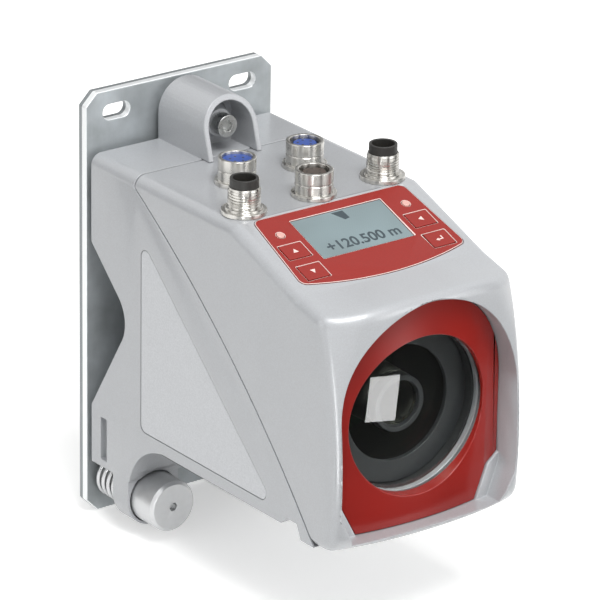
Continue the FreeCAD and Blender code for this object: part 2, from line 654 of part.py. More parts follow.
def rear_hollow():
    """The space inside the rear housing."""
    p = rear_outline(wall)
    inner = rear + wall
    front = amount("parting_foot") + wall
    low = amount("housing_underside") + wall
    roof = amount("drip_height") + wall
    back = amount("drip_back") - wall
    nose_low = (p["touch_lower"][0] + wall, low)
    steps = [((front, top - wall),), ((front, roof),), ((back, roof),), ((back - wall, low),),
             (nose_low,), (p["touch_lower"],), (p["nose"], p["touch_upper"]), ((inner, p["upper"][1]),)]
    return prism((inner, top - wall), steps, half - wall)


def arch_prism(radius, foot, back, front):
    """A round-topped bar along the depth, around the tower's axis."""
    centre = amount("tower_centre")
    points = [at(radius, back, centre), at(radius, back, foot), at(-radius, back, foot),
              at(-radius, back, centre)]
    edges = [Part.LineSegment(a, b).toShape() for a, b in zip(points, points[1:])]
    edges.append(Part.Arc(points[-1], at(0, back, centre + radius), points[0]).toShape())
    return Part.Face(Part.Wire(edges)).extrude(Vector(0, back - front, 0))


def tower():
    """The tower that carries the upper screw, its front leaning back, with a recess and a cone."""
    radius = amount("tower_radius")
    crown = amount("tower_centre") + radius
    base = amount("tower_base")
    peak = amount("tower_peak")
    centre = amount("tower_centre")
    recess = amount("tower_recess")
    body = arch_prism(radius, top - OVERLAP, rear, base)
    body = body.cut(arch_prism(radius - amount("tower_wall"), top, recess, base + OVERLAP))
    cone = Part.makeCone(amount("boss_radius"), amount("boss_top_radius"), amount("boss_height"),
                         at(0, recess, centre), Vector(0, -1, 0))
    body = body.fuse(cone)
    rake = (base - peak) / (crown - top)
    leaning = prism((base, top), [((base - rake * (crown + wall - top), crown + wall),),
                                  ((base + FAR, crown + wall),), ((base + FAR, top),)], half)
    return body.cut(leaning)


def ear(side):
    """One of the two ears under the foot."""
    radius = amount("ear_radius")
    x = side * amount("ear_offset")
    height = amount("ear_height")
    back = amount("ear_back")
    front = amount("ear_front")
    web = Part.makeBox(2 * radius, front - back, amount("foot_underside") + OVERLAP - height,
                       at(x - radius, front, height))
    return cylinder(radius, x, height, back, front).fuse(web)


def label_prism(grow, thick, out):
    """The three-cornered name plate behind the parting line, on the left side."""
    start = (amount("parting_depth"), top - amount("edge_radius"))
    end = (amount("parting_foot"), amount("chin_underside"))
    fall = (start[1] - end[1]) / (end[0] - start[0])
    drop = (amount("label_margin") - grow) / math.cos(math.atan(fall))
    back = amount("label_rear") - grow
    low = amount("label_foot") - grow
    peak = (back, start[1] - drop - fall * (back - start[0]))
    nose = (start[0] + (start[1] - drop - low) / fall, low)
    flat = Part.Face(outline(-half - out, (back, low), [(peak,), (nose,)]))
    plate = flat.extrude(Vector(thick, 0, 0))
    across = [e for e in plate.Edges if abs(e.Vertexes[0].X - e.Vertexes[-1].X) > thick / 2]
    return plate.makeFillet(amount("label_round") + grow, across)


def rear_housing():
    """The cast rear housing with the tower, the ears and the hollow back."""
    block = rear_block()
    edges = side_edges(block, lambda depth, height: height > top - OVERLAP)
    shell = block.makeFillet(amount("edge_radius"), edges)
    body = shell.fuse([tower(), ear(-1), ear(1)]).cut(rear_hollow())
    back = amount("ear_back")
    seat = back + amount("ear_floor")
    offset = amount("ear_offset")
    height = amount("ear_height")
    centre = amount("tower_centre")
    crest = amount("tower_recess + boss_height")
    hole = amount("screw_hole")
    pocket_floor = amount("tower_recess") - amount("ear_floor")
    nut_room = amount("nut_radius + nut_clearance")
    cuts = [cylinder(nut_room, -offset, height, seat, amount("nut_front + wall")),
            cylinder(amount("stud_radius + screw_hole - screw_radius"), -offset, height, back, seat),
            cylinder(amount("screw_head_radius + screw_hole - screw_radius"), offset, height, seat,
                     amount("nut_front")),
            cylinder(hole, offset, height, back, seat),
            cylinder(hole, 0, centre, rear, crest),
            cylinder(amount("spring_pocket"), 0, centre, rear, pocket_floor)]
    for x in (-offset, offset):
        cuts.append(cylinder(amount("spring_radius + spring_clearance"), x, height, rear, back))
    slot = amount("side_slot_width")
    slot_deep = amount("side_slot_depth")
    for x in (-half, half - slot_deep):
        cuts.append(Part.makeBox(slot_deep, slot, amount("side_slot_height"),
                                 at(x, rear + 2 * wall + slot, amount("foot_underside") + wall)))
    cuts.append(label_prism(amount("seat_gap"), amount("label_thickness + seat_gap"), 0))
    return body.cut(cuts).cut(parting_region(-amount("parting_gap")))


def housing_gasket():
    """The flat seal between the two shells, set back from the painted faces."""
    inset = amount("gasket_inset")
    slab = parting_region(-amount("parting_gap")).cut(parting_region(0.0))
    ring = rear_block().cut(rear_hollow())
    reach = amount("parting_foot") + FAR
    low = amount("chin_underside") + inset
    trim = prism((rear, top - inset), [((reach, top - inset),), ((reach, low),), ((rear, low),)], half - inset)
    crown = [edge for edge in trim.Edges
             if edge.BoundBox.YLength > FAR and edge.BoundBox.ZMin > low + inset]
    return ring.common(slab).common(trim.makeFillet(amount("edge_radius") - inset, crown))


def front_bezel():
    """The insert around the window, its face curved in plan, with the seat of the glass behind."""
    floor = amount("recess_floor")
    body = recess_prism(-amount("seat_gap"), floor, floor + FAR).common(bezel_drum(0.0))
    window = amount("window_centre")
    body = body.cut(cylinder(amount("window_radius"), 0, window, floor - OVERLAP, floor + FAR))
    seat = floor + amount("glass_thickness")
    return body.cut(cylinder(amount("glass_radius + seat_gap"), 0, window, floor - OVERLAP, seat))


def keypad_foil():
    """The foil on the slope, with its cut-outs for display, keys and lamps."""
    gap = amount("seat_gap")
    thick = amount("foil_thickness")
    foil = on_slope(foil_block(0.0, thick))
    cuts = [slope_block(amount("display_width") + 2 * gap, amount("display_height") + 2 * gap, 3 * thick, 0,
                        amount("display_start + display_height / 2"), thick)]
    for side, drop in KEYS.values():
        cuts.append(slope_block(amount("key_width + 2 * key_gap"), amount("key_height + 2 * key_gap"),
                                3 * thick, side * amount("key_offset"), amount(drop), thick))
    for side in (-1, 1):
        hole = Part.makeCylinder(amount("lamp_radius") + gap, 3 * thick,
                                 Vector(side * amount("key_offset"), 0, -2 * thick))
        cuts.append(on_slope(hole, amount("lamp_drop")))
    return foil.cut(cuts)


def key_cap(side, drop):
    """A key with rounded corners, resting above its dome by its stroke."""
    wide = amount("key_width")
    tall = amount("key_height")
    deep = amount("foil_thickness + key_gap + key_rise")
    cap = Part.makeBox(wide, tall, deep, Vector(side * amount("key_offset") - wide / 2, -tall / 2, -deep))
    upright = [e for e in cap.Edges if abs(e.Vertexes[0].Z - e.Vertexes[-1].Z) > deep / 2]
    cap = cap.makeFillet(amount("key_round"), upright)
    return on_slope(cap, amount(drop), amount("key_rise"))


def lamp(side):
    """A round status lamp through the foil."""
    tall = amount("foil_thickness + lamp_rise")
    post = Part.makeCylinder(amount("lamp_radius"), tall, Vector(side * amount("key_offset"), 0, -tall))
    return on_slope(post, amount("lamp_drop"), amount("lamp_rise"))


def mounting_plate():
    """The sheet-metal wall plate with cut corners, four slots and three holes."""
    body = doc.addObject("PartDesign::Body", "mounting_plate")
    edge = "plate_width / 2"
    cut = "(plate_width / 2 - plate_corner)"
    points = [(edge, "plate_corner"), (edge, "plate_height - plate_corner"), (cut, "plate_height"),
              ("-" + cut, "plate_height"), ("-" + edge, "plate_height - plate_corner"),
              ("-" + edge, "plate_corner"), ("-" + cut, "0"), (cut, "0")]
    pad = body.newObject("PartDesign::Pad", "plate_sheet")
    pad.Profile = sketch_on(body, "XY_Plane", "plate_outline", points)
    pad.setExpression("Length", bind("plate_thickness"))
    doc.recompute()
    holes = sketch_on(body, "XY_Plane", "plate_holes", lift="plate_thickness")
    for row in ("upper", "lower"):
        for side in (-1, 1):
            slot_in(holes, "%d * %s_slot_spacing / 2" % (side, row), row + "_slot_height",
                    "slot_length", "slot_width")
    circle_in(holes, "-ear_offset", "ear_height", "stud_radius + seat_gap / 2")
    circle_in(holes, "ear_offset", "ear_height", "screw_hole")
    circle_in(holes, "0", "tower_centre", "screw_hole")
    pocket = body.newObject("PartDesign::Pocket", "plate_cutting")
    pocket.Profile = holes
    pocket.setExpression("Length", bind("plate_thickness"))
    body.Tip = pocket
    place(body, turn=FORWARD)
    return keep(body, "mounting_plate")


def socket_screw(name, across, height, seat):
    """An M5 socket-head screw that reaches through the plate and bears on a seat."""
    head = "%s + seat_gap - screw_tip" % seat
    crown = head + " + screw_head_height"
    screw = turned(name, [("0", "0"), ("screw_radius", "0"), ("screw_radius", head),
                          ("screw_head_radius", head), ("screw_head_radius", crown), ("0", crown)],
                   across, "screw_tip", height)
    hexagon_socket(screw, crown, "hex_key")


def sleeve(name, outer, inner, start, length, across, depth, height, forward=True):
    """A plain ring between two radii."""
    end = "%s + %s" % (start, length)
    return turned(name, [(inner, start), (outer, start), (outer, end), (inner, end)],
                  across, depth, height, forward)


def connector(name, kind, row, side):
    """A round connector on the top: shell, contact block and contacts."""
    across, depth = connector_spot(row, side)
    spot = (across, depth, "housing_top", False)
    outer, inner, tall = {"plug": ("plug_outer", "plug_inner", "plug_height")}.get(
        kind, ("socket_outer", "socket_inner", "socket_height"))
    foot = "-connector_shank_length"
    turned(name, [(inner, foot), ("connector_shank", foot), ("connector_shank", "0"),
                  ("connector_flange", "0"), ("connector_flange", "connector_flange_height"),
                  (outer, "connector_flange_height"), (outer, tall), (inner, tall)], *spot)
    block = inner + " - seat_gap / 2"
    crown = {"plug": "plug_height + collar_rise", "full": "socket_height - block_drop",
             "socket": "socket_height - block_drop"}[kind]
    if kind == "plug":
        profile = [("0", foot), (block, foot), (block, crown), ("cup_inner", crown),
                   ("cup_inner", "cup_floor"), ("0", "cup_floor")]
    elif kind == "full":
        profile = [("0", foot), (block, foot), (block, crown), ("0", crown)]
    else:
        profile = [("0", foot), (block, foot), (block, "cup_floor"), ("insert_radius", "cup_floor"),
                   ("insert_radius", crown), ("0", crown)]
    turned(name + "_block", profile, *spot)
    if kind == "plug":
        pins = []
        for step in range(CONTACTS):
            x, y = polar((0, 0), amount("contact_circle"), 2 * math.pi * (step + 0.5) / CONTACTS)
            pins.append(Part.makeCylinder(amount("contact_radius"), amount("contact_length"),
                                          at(amount(across) + x, amount(depth) + y,
                                             amount("housing_top + cup_floor"))))
        feature(name + "_contacts", Part.makeCompound(pins))


def spring(name, kind, across, height, front):
    """A spring's room around its screw, from the plate forward, as a sleeve of its two radii."""
    sleeve(name, kind + "_radius", "%s_radius - 2 * %s_wire" % (kind, kind), "0",
           front + " - plate_thickness", across, "plate_thickness", height)


CONTACTS = 5

mounting_plate()
turned("pivot_stud", [("0", "0"), ("stud_radius", "0"), ("stud_radius", "plate_thickness"),
                      ("stud_flange", "plate_thickness"),
                      ("stud_flange", "plate_thickness + stud_flange_height"),
                      ("stud_radius", "plate_thickness + stud_flange_height"),
                      ("stud_radius", "stud_reach"), ("0", "stud_reach")], "-ear_offset", "0", "ear_height")
spring("pivot_spring", "spring", "-ear_offset", "ear_height", "ear_back - spring_play")
spring("alignment_spring", "spring", "ear_offset", "ear_height", "ear_back - alignment_play")
spring("top_spring", "top_spring", "0", "tower_centre",
       "tower_recess - ear_floor - top_spring_play")
seat = "ear_back + ear_floor + spring_play"
sleeve("ball_washer", "ball_washer_radius", "stud_radius + spring_play", "0", "ball_washer_height",
       "-ear_offset", seat, "ear_height")
nut_back = seat + " + ball_washer_height + spring_play"
nut_end = "nut_front - (%s)" % nut_back
nut_bore = "stud_reach + spring_play - (%s)" % nut_back
nut = turned("clamping_nut", [("stud_radius + spring_play", "0"), ("nut_radius", "0"),
                              ("nut_radius", nut_end + " - nut_chamfer"),
                              ("nut_radius - nut_chamfer", nut_end), ("0", nut_end), ("0", nut_bore),
                              ("stud_radius + spring_play", nut_bore)], "-ear_offset", nut_back, "ear_height")
hexagon_socket(nut, nut_end, "nut_key")
socket_screw("top_screw", "0", "tower_centre", "tower_recess + boss_height")
socket_screw("alignment_screw", "ear_offset", "ear_height", "ear_back + ear_floor")

feature("rear_housing", rear_housing())
feature("front_hood", front_hood())
feature("housing_gasket", housing_gasket())
feature("name_plate", label_prism(0.0, amount("label_thickness"), -amount("seat_gap")))
feature("front_bezel", front_bezel())

turned("front_window", [("0", "0"), ("glass_radius", "0"), ("glass_radius", "glass_thickness"),
                        ("0", "glass_thickness")], "0", "recess_floor", "window_centre")
barrel_front = "recess_floor - floor_thickness"
turned("lens_barrel", [("barrel_inner", "0"), ("barrel_outer", "0"),
                       ("barrel_outer", "barrel_length - floor_thickness"),
                       ("barrel_flange", "barrel_length - floor_thickness"),
                       ("barrel_flange", "barrel_length"), ("barrel_inner", "barrel_length")],
       "0", barrel_front + " - barrel_length", "window_centre")
lens_back = "recess_floor - receiver_setback"
sleeve("receiver_lens", "barrel_inner - seat_gap", "sender_outer + seat_gap", "0", "receiver_edge",
       "0", lens_back, "window_centre")
sleeve("lens_ring", "barrel_inner - seat_gap", "lens_ring_inner", "0", "lens_ring_height",
       "0", lens_back + " + receiver_edge", "window_centre")
board_front = barrel_front + " - barrel_length - board_gap"
sleeve("sender_tube", "sender_outer", "sender_inner", "board_gap",
       "recess_floor - sender_setback - (%s) - board_gap" % board_front, "0", board_front, "window_centre")
turned("sender_lens", [("0", "0"), ("sender_inner - seat_gap", "0"),
                       ("sender_inner - seat_gap", "receiver_edge"), ("0", "receiver_edge")],
       "0", "recess_floor - sender_setback - sender_recess - receiver_edge", "window_centre")
turned("laser_module", [("0", "0"), ("sender_inner - seat_gap", "0"),
                        ("sender_inner - seat_gap", "laser_length"), ("0", "laser_length")],
       "0", board_front + " + board_gap", "window_centre")

box("detector_board", "2 * barrel_outer", "board_thickness", "2 * barrel_outer", "0", board_front,
    "window_centre - barrel_outer")
box("main_board", "housing_width - 2 * wall - 2 * board_gap", "board_thickness", "main_board_height", "0",
    "main_board_depth", "main_board_foot")

feature("keypad_foil", keypad_foil())
pane = amount("pane_thickness")
foil = amount("foil_thickness")
display_middle = amount("display_start + display_height / 2")
feature("display_window", slope_block(amount("display_width"), amount("display_height"), pane, 0,
                                      display_middle, pane - foil))
module = amount("module_thickness")
clear = amount("board_gap")
feature("display_module", slope_block(amount("display_width + display_lip"),
                                      amount("display_height + display_lip"), module, 0,
                                      display_middle, -wall - clear))
board_top = -wall - 2 * clear - module
feature("display_board", slope_block(amount("2 * foil_top_width"), amount("foil_corner - display_lip"),
                                     amount("board_thickness"), 0,
                                     amount("(foil_corner + display_lip) / 2 + display_lip"), board_top))
for name, (side, drop) in KEYS.items():
    feature(name, key_cap(side, drop))
for name, side in (("lamp_left", -1), ("lamp_right", 1)):
    feature(name, lamp(side))
for name, (kind, row, side) in CONNECTORS.items():
    connector(name, kind, row, side)

doc.recompute()
for item in doc.Objects:
    if "Invalid" in item.State or "Error" in item.State:
        raise ValueError("%s: %s" % (item.Label, item.State))
for item in pieces:
    if item.Shape.isNull() or not item.Shape.isValid() or item.Shape.Volume <= 0:
        raise ValueError("%s has no sound shape" % item.Label)
os.makedirs("parts", exist_ok=True)
for item in pieces:
    item.Shape.exportStep("parts/%s.step" % item.Label)
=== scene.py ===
"""Optical distance sensor on its adjustable wall plate, dressed for a product picture."""

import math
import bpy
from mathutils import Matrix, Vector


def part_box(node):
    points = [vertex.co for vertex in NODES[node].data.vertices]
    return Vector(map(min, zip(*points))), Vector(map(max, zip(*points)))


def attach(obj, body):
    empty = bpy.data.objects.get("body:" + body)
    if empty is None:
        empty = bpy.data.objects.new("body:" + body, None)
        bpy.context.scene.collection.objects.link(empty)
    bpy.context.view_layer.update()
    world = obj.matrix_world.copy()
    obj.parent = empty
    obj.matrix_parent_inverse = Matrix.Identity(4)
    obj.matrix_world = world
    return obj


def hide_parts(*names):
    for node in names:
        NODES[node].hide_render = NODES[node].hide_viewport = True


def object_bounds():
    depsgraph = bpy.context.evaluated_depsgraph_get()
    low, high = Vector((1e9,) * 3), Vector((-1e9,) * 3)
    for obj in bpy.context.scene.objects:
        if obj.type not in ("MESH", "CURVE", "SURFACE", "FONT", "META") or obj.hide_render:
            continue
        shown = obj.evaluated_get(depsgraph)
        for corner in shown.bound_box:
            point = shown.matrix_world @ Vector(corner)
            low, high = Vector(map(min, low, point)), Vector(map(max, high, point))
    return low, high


bl_info = {
    "name": "Distance sensor",
    "version": (1, 0, 0),
    "blender": (4, 5, 0),
    "location": "View3D > Sidebar > Sensor",
    "description": "Dresses the optical distance sensor and sets up its stage",
    "category": "Object",
}

import bmesh
import bpy
from bpy.props import FloatProperty, FloatVectorProperty, IntProperty, PointerProperty, StringProperty
from mathutils import Matrix, Vector

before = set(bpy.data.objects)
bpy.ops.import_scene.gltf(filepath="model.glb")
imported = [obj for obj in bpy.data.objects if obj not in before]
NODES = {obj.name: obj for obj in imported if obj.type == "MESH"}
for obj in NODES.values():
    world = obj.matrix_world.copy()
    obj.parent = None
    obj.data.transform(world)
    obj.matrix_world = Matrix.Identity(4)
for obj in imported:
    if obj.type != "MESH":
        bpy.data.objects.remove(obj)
CAD_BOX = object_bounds()

MM = 0.001
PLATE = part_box("mounting_plate")
KEYS = {"key_up": "up", "key_down": "down", "key_escape": "back", "key_enter": "enter"}
PLUGS = ("plug_left", "plug_right")
SOCKETS = {"socket_middle": "brown_polyamide", "socket_back_left": "blue_polyamide",
           "socket_back_right": "blue_polyamide"}


def middle(node):
    """The middle of a solid."""
    low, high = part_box(node)
    return (low + high) / 2


def size(node):
    """A solid's size along X, Y and Z."""
    low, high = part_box(node)
    return high - low


class SensorColours(bpy.types.PropertyGroup):
    """Colours of the sensor, as hex values for the screen."""
    paint: StringProperty(name="Paint", description="Powder coat of both castings", default="#AEB0B3")
    zinc: StringProperty(name="Zinc", description="Plated wall plate", default="#B4B9BC")
    bezel: StringProperty(name="Bezel", description="Moulded insert round the window", default="#8C1106")
    foil: StringProperty(name="Foil", description="Printed keypad foil", default="#8E180B")
    # The light print colour is also painted on the foil's rounded edges as a painted highlight.
    print_and_edge_highlight: StringProperty(name="Print", description="Light print on the foil", default="#F0D8D2")
    display: StringProperty(name="Display", description="Liquid crystal display", default="#74868A")
    blue: StringProperty(name="Blue block", description="Contact blocks of the back sockets",
                         default="#34519C")


class SensorSizes(bpy.types.PropertyGroup):
    """Sizes that belong to the finish and not to the solids."""
    cast_edge: FloatProperty(name="Cast edge", description="Rounding of the front casting's edges",
                             default=0.5 * MM, unit="LENGTH")
    pocket_edge: FloatProperty(name="Pocket edge", description="Rounding of the rear casting's edges",
                               default=0.3 * MM, unit="LENGTH")
    sheet_edge: FloatProperty(name="Sheet edge", description="Rounding of the plate's edges",
                              default=0.5 * MM, unit="LENGTH")
    small_edge: FloatProperty(name="Small edge", description="Rounding of small pieces",
                              default=0.2 * MM, unit="LENGTH")
    thread_pitch: FloatProperty(name="Thread pitch", description="Pitch of the plugs' thread",
                                default=1.0 * MM, unit="LENGTH")
    spring_turns: FloatProperty(name="Spring turns", description="Turns of each coil spring", default=4.5)
    contacts: IntProperty(name="Contacts", description="Contacts in each connector", default=5)
    contact_circle: FloatProperty(name="Contact circle", description="Radius on which the contacts stand",
                                  default=2.6 * MM, unit="LENGTH")
    keypad_tilt: FloatProperty(name="Keypad tilt", description="Slope of the keypad face",
                               default=math.radians(20), subtype="ANGLE")
    crease: FloatProperty(name="Crease", description="Where the keypad face begins, from the wall",
                          default=95.5 * MM, unit="LENGTH")
    tower_foot: FloatProperty(name="Tower foot", description="Foot of the tower's front, from the wall",
                              default=40.5 * MM, unit="LENGTH")
    tower_lean: FloatProperty(name="Tower lean", description="The tower's front leans back by this",
                              default=math.radians(16.7), subtype="ANGLE")
    reading: StringProperty(name="Reading", description="Number on the display", default="+120.500 m")


def sizes():
    return bpy.context.scene.sensor_sizes


def colours():
    return bpy.context.scene.sensor_colours


def linear(code):
    """A hex colour for the screen, as linear light."""
    parts = [int(code[i:i + 2], 16) / 255 for i in (1, 3, 5)]
    return [c / 12.92 if c <= 0.04045 else ((c + 0.055) / 1.055) ** 2.4 for c in parts] + [1.0]


def add(tree, kind, inputs=None, **settings):
    """Adds a node with its settings. An input given as a socket is linked, any other is set."""
    node = tree.nodes.new(kind)
    for name, value in settings.items():
        setattr(node, name, value)
    for key, value in (inputs or {}).items():
        if isinstance(value, bpy.types.NodeSocket):
            tree.links.new(value, node.inputs[key])
        else:
            node.inputs[key].default_value = value
    return node


def surface(name, colour, **numbers):
    """A new material with its shader, and the place on the piece for its patterns."""
    mat = bpy.data.materials.new(name)
    mat.use_nodes = True
    tree = mat.node_tree
    shader = tree.nodes["Principled BSDF"]
    shader.inputs["Base Color"].default_value = linear(colour)
    for key, value in numbers.items():
        shader.inputs[key.replace("_", " ")].default_value = value
    mat.diffuse_color = linear(colour)
    place = add(tree, "ShaderNodeTexCoord").outputs["Object"]
    return mat, tree, shader, place


def per(millimetres):
    """The scale of a pattern whose features are this large."""
    return 1 / (millimetres * MM)


def shade(code, share):
    """A hex colour made lighter or darker by a share."""
    parts = [int(code[i:i + 2], 16) for i in (1, 3, 5)]
    return "#" + "".join("%02X" % max(0, min(255, round(c * share))) for c in parts)


def grain(tree, shader, place, feature, height, strength, detail=2.0):
    """Makes the surface finely uneven, its features and height in millimetres, and gives the pattern."""
    noise = add(tree, "ShaderNodeTexNoise", {"Vector": place, "Scale": per(feature), "Detail": detail})
    bump = add(tree, "ShaderNodeBump", {"Height": noise.outputs["Fac"], "Strength": strength,
                                        "Distance": height * MM})
    tree.links.new(bump.outputs["Normal"], shader.inputs["Normal"])
    return noise.outputs["Fac"]


def mottle(tree, shader, pattern, colours=None, roughness=None):
    """Lets an uneven pattern vary a shader's colour and its roughness between two values each."""
    share = add(tree, "ShaderNodeMapRange", {"Value": pattern, "From Min": 0.3, "From Max": 0.7}).outputs[0]
    if colours:
        tone = add(tree, "ShaderNodeMix", {0: share, 6: linear(colours[0]), 7: linear(colours[1])},
                   data_type="RGBA")
        tree.links.new(tone.outputs[2], shader.inputs["Base Color"])
    if roughness:
        gloss = add(tree, "ShaderNodeMix", {0: share, 2: roughness[0], 3: roughness[1]})
        tree.links.new(gloss.outputs[0], shader.inputs["Roughness"])


def powder_coat(name):
    """Powder coat on die-cast zinc: a smooth satin silver grey with a trace of orange peel in its gloss.
    Its metal flakes are finer than the 0.45 mm at which they show."""
    base = colours().paint
    mat, tree, shader, place = surface(name, base, Roughness=0.38, Metallic=0.1, Coat_Weight=0.45,
                                       Coat_Roughness=0.14)
    grain(tree, shader, place, 1.1, 0.02, 0.25)
    cloud = add(tree, "ShaderNodeTexNoise", {"Vector": place, "Scale": per(9), "Detail": 3.0})
    flake = add(tree, "ShaderNodeTexNoise", {"Vector": place, "Scale": per(0.45), "Detail": 1.0})
    mottle(tree, shader, flake.outputs["Fac"], (shade(base, 0.98), shade(base, 1.02)))
    mottle(tree, shader, cloud.outputs["Fac"], None, (0.34, 0.42))
    return mat


def zinc_plate(name):
    """Zinc-plated steel sheet: rolled streaks and grey clouds. Its stamped edge is shiny in front, where
    the punch cut it, and matt behind, where it broke; the front is painted near white as a painted
    highlight, and the back painted dark grey, partly the break's own grey and partly painted shade."""
    base = colours().zinc
    mat, tree, shader, place = surface(name, base, Metallic=0.5, Roughness=0.45)
    run = add(tree, "ShaderNodeMapping", {"Vector": place, "Scale": (1.0, 1.0, 0.08)})
    streak = add(tree, "ShaderNodeTexNoise", {"Vector": run.outputs["Vector"], "Scale": per(0.9),
                                              "Detail": 3.0})
    mottle(tree, shader, streak.outputs["Fac"], None, (0.38, 0.52))
    cloud = add(tree, "ShaderNodeTexNoise", {"Vector": place, "Scale": per(16), "Detail": 4.0})
    mottle(tree, shader, cloud.outputs["Fac"], (shade(base, 0.88), shade(base, 1.1)))
    face = shader.inputs["Base Color"].links[0].from_socket
    spot = add(tree, "ShaderNodeSeparateXYZ", {"Vector": place})
    # The stamped edge is painted two-tone: near white in front as a painted highlight of the cut's shine,
    # dark grey behind, partly the break's own grey and partly painted shade.
    front = PLATE[0].y * 0.45
    painted_highlight_front = add(tree, "ShaderNodeMath", {0: spot.outputs["Y"], 1: front}, operation="LESS_THAN")
    rim = add(tree, "ShaderNodeMix", {0: painted_highlight_front.outputs["Value"], 6: linear("#8F9496"), 7: linear("#F1F3F4")},
              data_type="RGBA")
    aim = add(tree, "ShaderNodeSeparateXYZ", {"Vector": add(tree, "ShaderNodeTexCoord").outputs["Normal"]})
    flat = add(tree, "ShaderNodeMath", {0: aim.outputs["Y"]}, operation="ABSOLUTE")
    across = add(tree, "ShaderNodeMath", {0: flat.outputs["Value"], 1: 0.8}, operation="LESS_THAN")
    colour = add(tree, "ShaderNodeMix", {0: across.outputs["Value"], 6: face, 7: rim.outputs[2]},
                 data_type="RGBA")
    tree.links.new(colour.outputs[2], shader.inputs["Base Color"])
    bump = add(tree, "ShaderNodeBump", {"Height": streak.outputs["Fac"], "Strength": 0.25,
                                        "Distance": 0.01 * MM})
    tree.links.new(bump.outputs["Normal"], shader.inputs["Normal"])
    return mat


def turned_metal(name, base, roughness, pitch=0.35, along="Z", stain=0.05, **more):
    """A lathe-turned and plated metal: bright, with fine rings left by the tool. The real rings are near
    0.1 mm apart and are drawn wider, so that they show."""
    mat, tree, shader, place = surface(name, base, Metallic=1.0, Roughness=roughness, **more)
    split = add(tree, "ShaderNodeSeparateXYZ", {"Vector": place})
    turns = add(tree, "ShaderNodeMath", {0: split.outputs[along], 1: 2 * math.pi * per(pitch)},
                operation="MULTIPLY")
    rings = add(tree, "ShaderNodeMath", {0: turns.outputs["Value"]}, operation="SINE")
    bump = add(tree, "ShaderNodeBump", {"Height": rings.outputs["Value"], "Strength": 0.15,
                                        "Distance": 0.004 * MM})
    cloud = add(tree, "ShaderNodeTexNoise", {"Vector": place, "Scale": per(2.5), "Detail": 3.0})
    mottle(tree, shader, cloud.outputs["Fac"], (shade(base, 1 - stain), shade(base, 1 + stain / 2)),
           (roughness * (1 - 3 * stain), roughness * (1 + 3 * stain)))
    tree.links.new(bump.outputs["Normal"], shader.inputs["Normal"])
    return mat


def nickel(name):
    """Nickel on turned brass. The tool's rings run round it and draw each lamp out to an upright streak."""
    mat = turned_metal(name, "#D2D0CB", 0.3, Anisotropic=0.85, Anisotropic_Rotation=0.25)
    tree = mat.node_tree
    round_it = add(tree, "ShaderNodeTangent", direction_type="RADIAL", axis="Z")
    tree.links.new(round_it.outputs["Tangent"], tree.nodes["Principled BSDF"].inputs["Tangent"])
    return mat


def moulded(name, base, roughness, feature=0.6, strength=0.3, **more):
    """Injection-moulded plastic: an even colour with a fine eroded grain of the mould. The real grain is
    near 0.1 mm and is drawn coarser, so that it shows."""
    mat, tree, shader, place = surface(name, base, Roughness=roughness, **more)
    eroded = grain(tree, shader, place, feature, 0.01, strength)
    mottle(tree, shader, eroded, (shade(base, 0.97), shade(base, 1.03)),
           (roughness * 0.9, roughness * 1.12))
    return mat


def polycarbonate(name):
    """Dyed polycarbonate from a polished mould: glossy, its tone varying a little in broad soft patches."""
    base = colours().bezel
    mat, tree, shader, place = surface(name, base, Roughness=0.3, Coat_Weight=0.2, Coat_Roughness=0.1)
    flow = add(tree, "ShaderNodeTexNoise", {"Vector": place, "Scale": per(30), "Detail": 1.0})
    mottle(tree, shader, flow.outputs["Fac"], (shade(base, 0.96), shade(base, 1.05)))
    return mat


def printed_foil(name):
    """Polyester foil printed from behind: satin, with a fine velvet grain over a flat colour. The real
    grain is near 0.1 mm and is drawn at 0.5 mm."""
    base = colours().foil
    mat, tree, shader, place = surface(name, base, Roughness=0.45)
    velvet = grain(tree, shader, place, 0.5, 0.012, 0.2)
    mottle(tree, shader, velvet, (shade(base, 0.97), shade(base, 1.04)))
    return mat


def window_glass(name):
    """Polished float glass: clear, its depth dark only because the optics behind it are black."""
    mat, tree, shader, place = surface(name, "#E3E8E6", Roughness=0.01, IOR=1.52, Transmission_Weight=1.0)
    grain(tree, shader, place, 22, 0.02, 0.05, 0.0)
    return mat


def coated_lens(name):
    """Coated lens glass: clear, with a slight warm cast of its anti-reflection layer."""
    mat, tree, shader, place = surface(name, "#D8D6C8", Roughness=0.02, IOR=1.52, Transmission_Weight=1.0)
    wipe = grain(tree, shader, place, 12, 0.02, 0.05, 0.0)
    mottle(tree, shader, wipe, None, (0.01, 0.03))
    return mat


def liquid_crystal(name):
    """A reflective display under acrylic: grey-green, its tone varying in soft clouds, with a fine raster.
    """
    base = colours().display
    mat, tree, shader, place = surface(name, base, Roughness=0.35, Coat_Weight=0.8, Coat_Roughness=0.04)
    cloud = add(tree, "ShaderNodeTexNoise", {"Vector": place, "Scale": per(24), "Detail": 1.0})
    mottle(tree, shader, cloud.outputs["Fac"], (shade(base, 0.9), shade(base, 1.12)))
    wash = shader.inputs["Base Color"].links[0].from_socket
    # The real raster is near 0.3 mm, which no picture of this size shows. It is drawn at 0.5 mm.
    raster = add(tree, "ShaderNodeTexChecker", {"Vector": place, "Scale": per(0.5),
                                                "Color1": linear(shade(base, 0.97)),
                                                "Color2": linear(shade(base, 1.03))})
    colour = add(tree, "ShaderNodeMix", {0: 0.3, 6: wash, 7: raster.outputs["Color"]}, data_type="RGBA")
    tree.links.new(colour.outputs[2], shader.inputs["Base Color"])
    return mat


def circuit_laminate(name):
    """Glass-fibre laminate under green solder mask: the weave shows as a faint check, twice its real
    size."""
    mat, tree, shader, place = surface(name, "#1F5B3A", Roughness=0.35, Coat_Weight=0.3)
    weave = add(tree, "ShaderNodeTexChecker", {"Vector": place, "Scale": per(1.0),
                                               "Color1": linear("#1D5737"), "Color2": linear("#226040")})
    tree.links.new(weave.outputs["Color"], shader.inputs["Base Color"])
    return mat


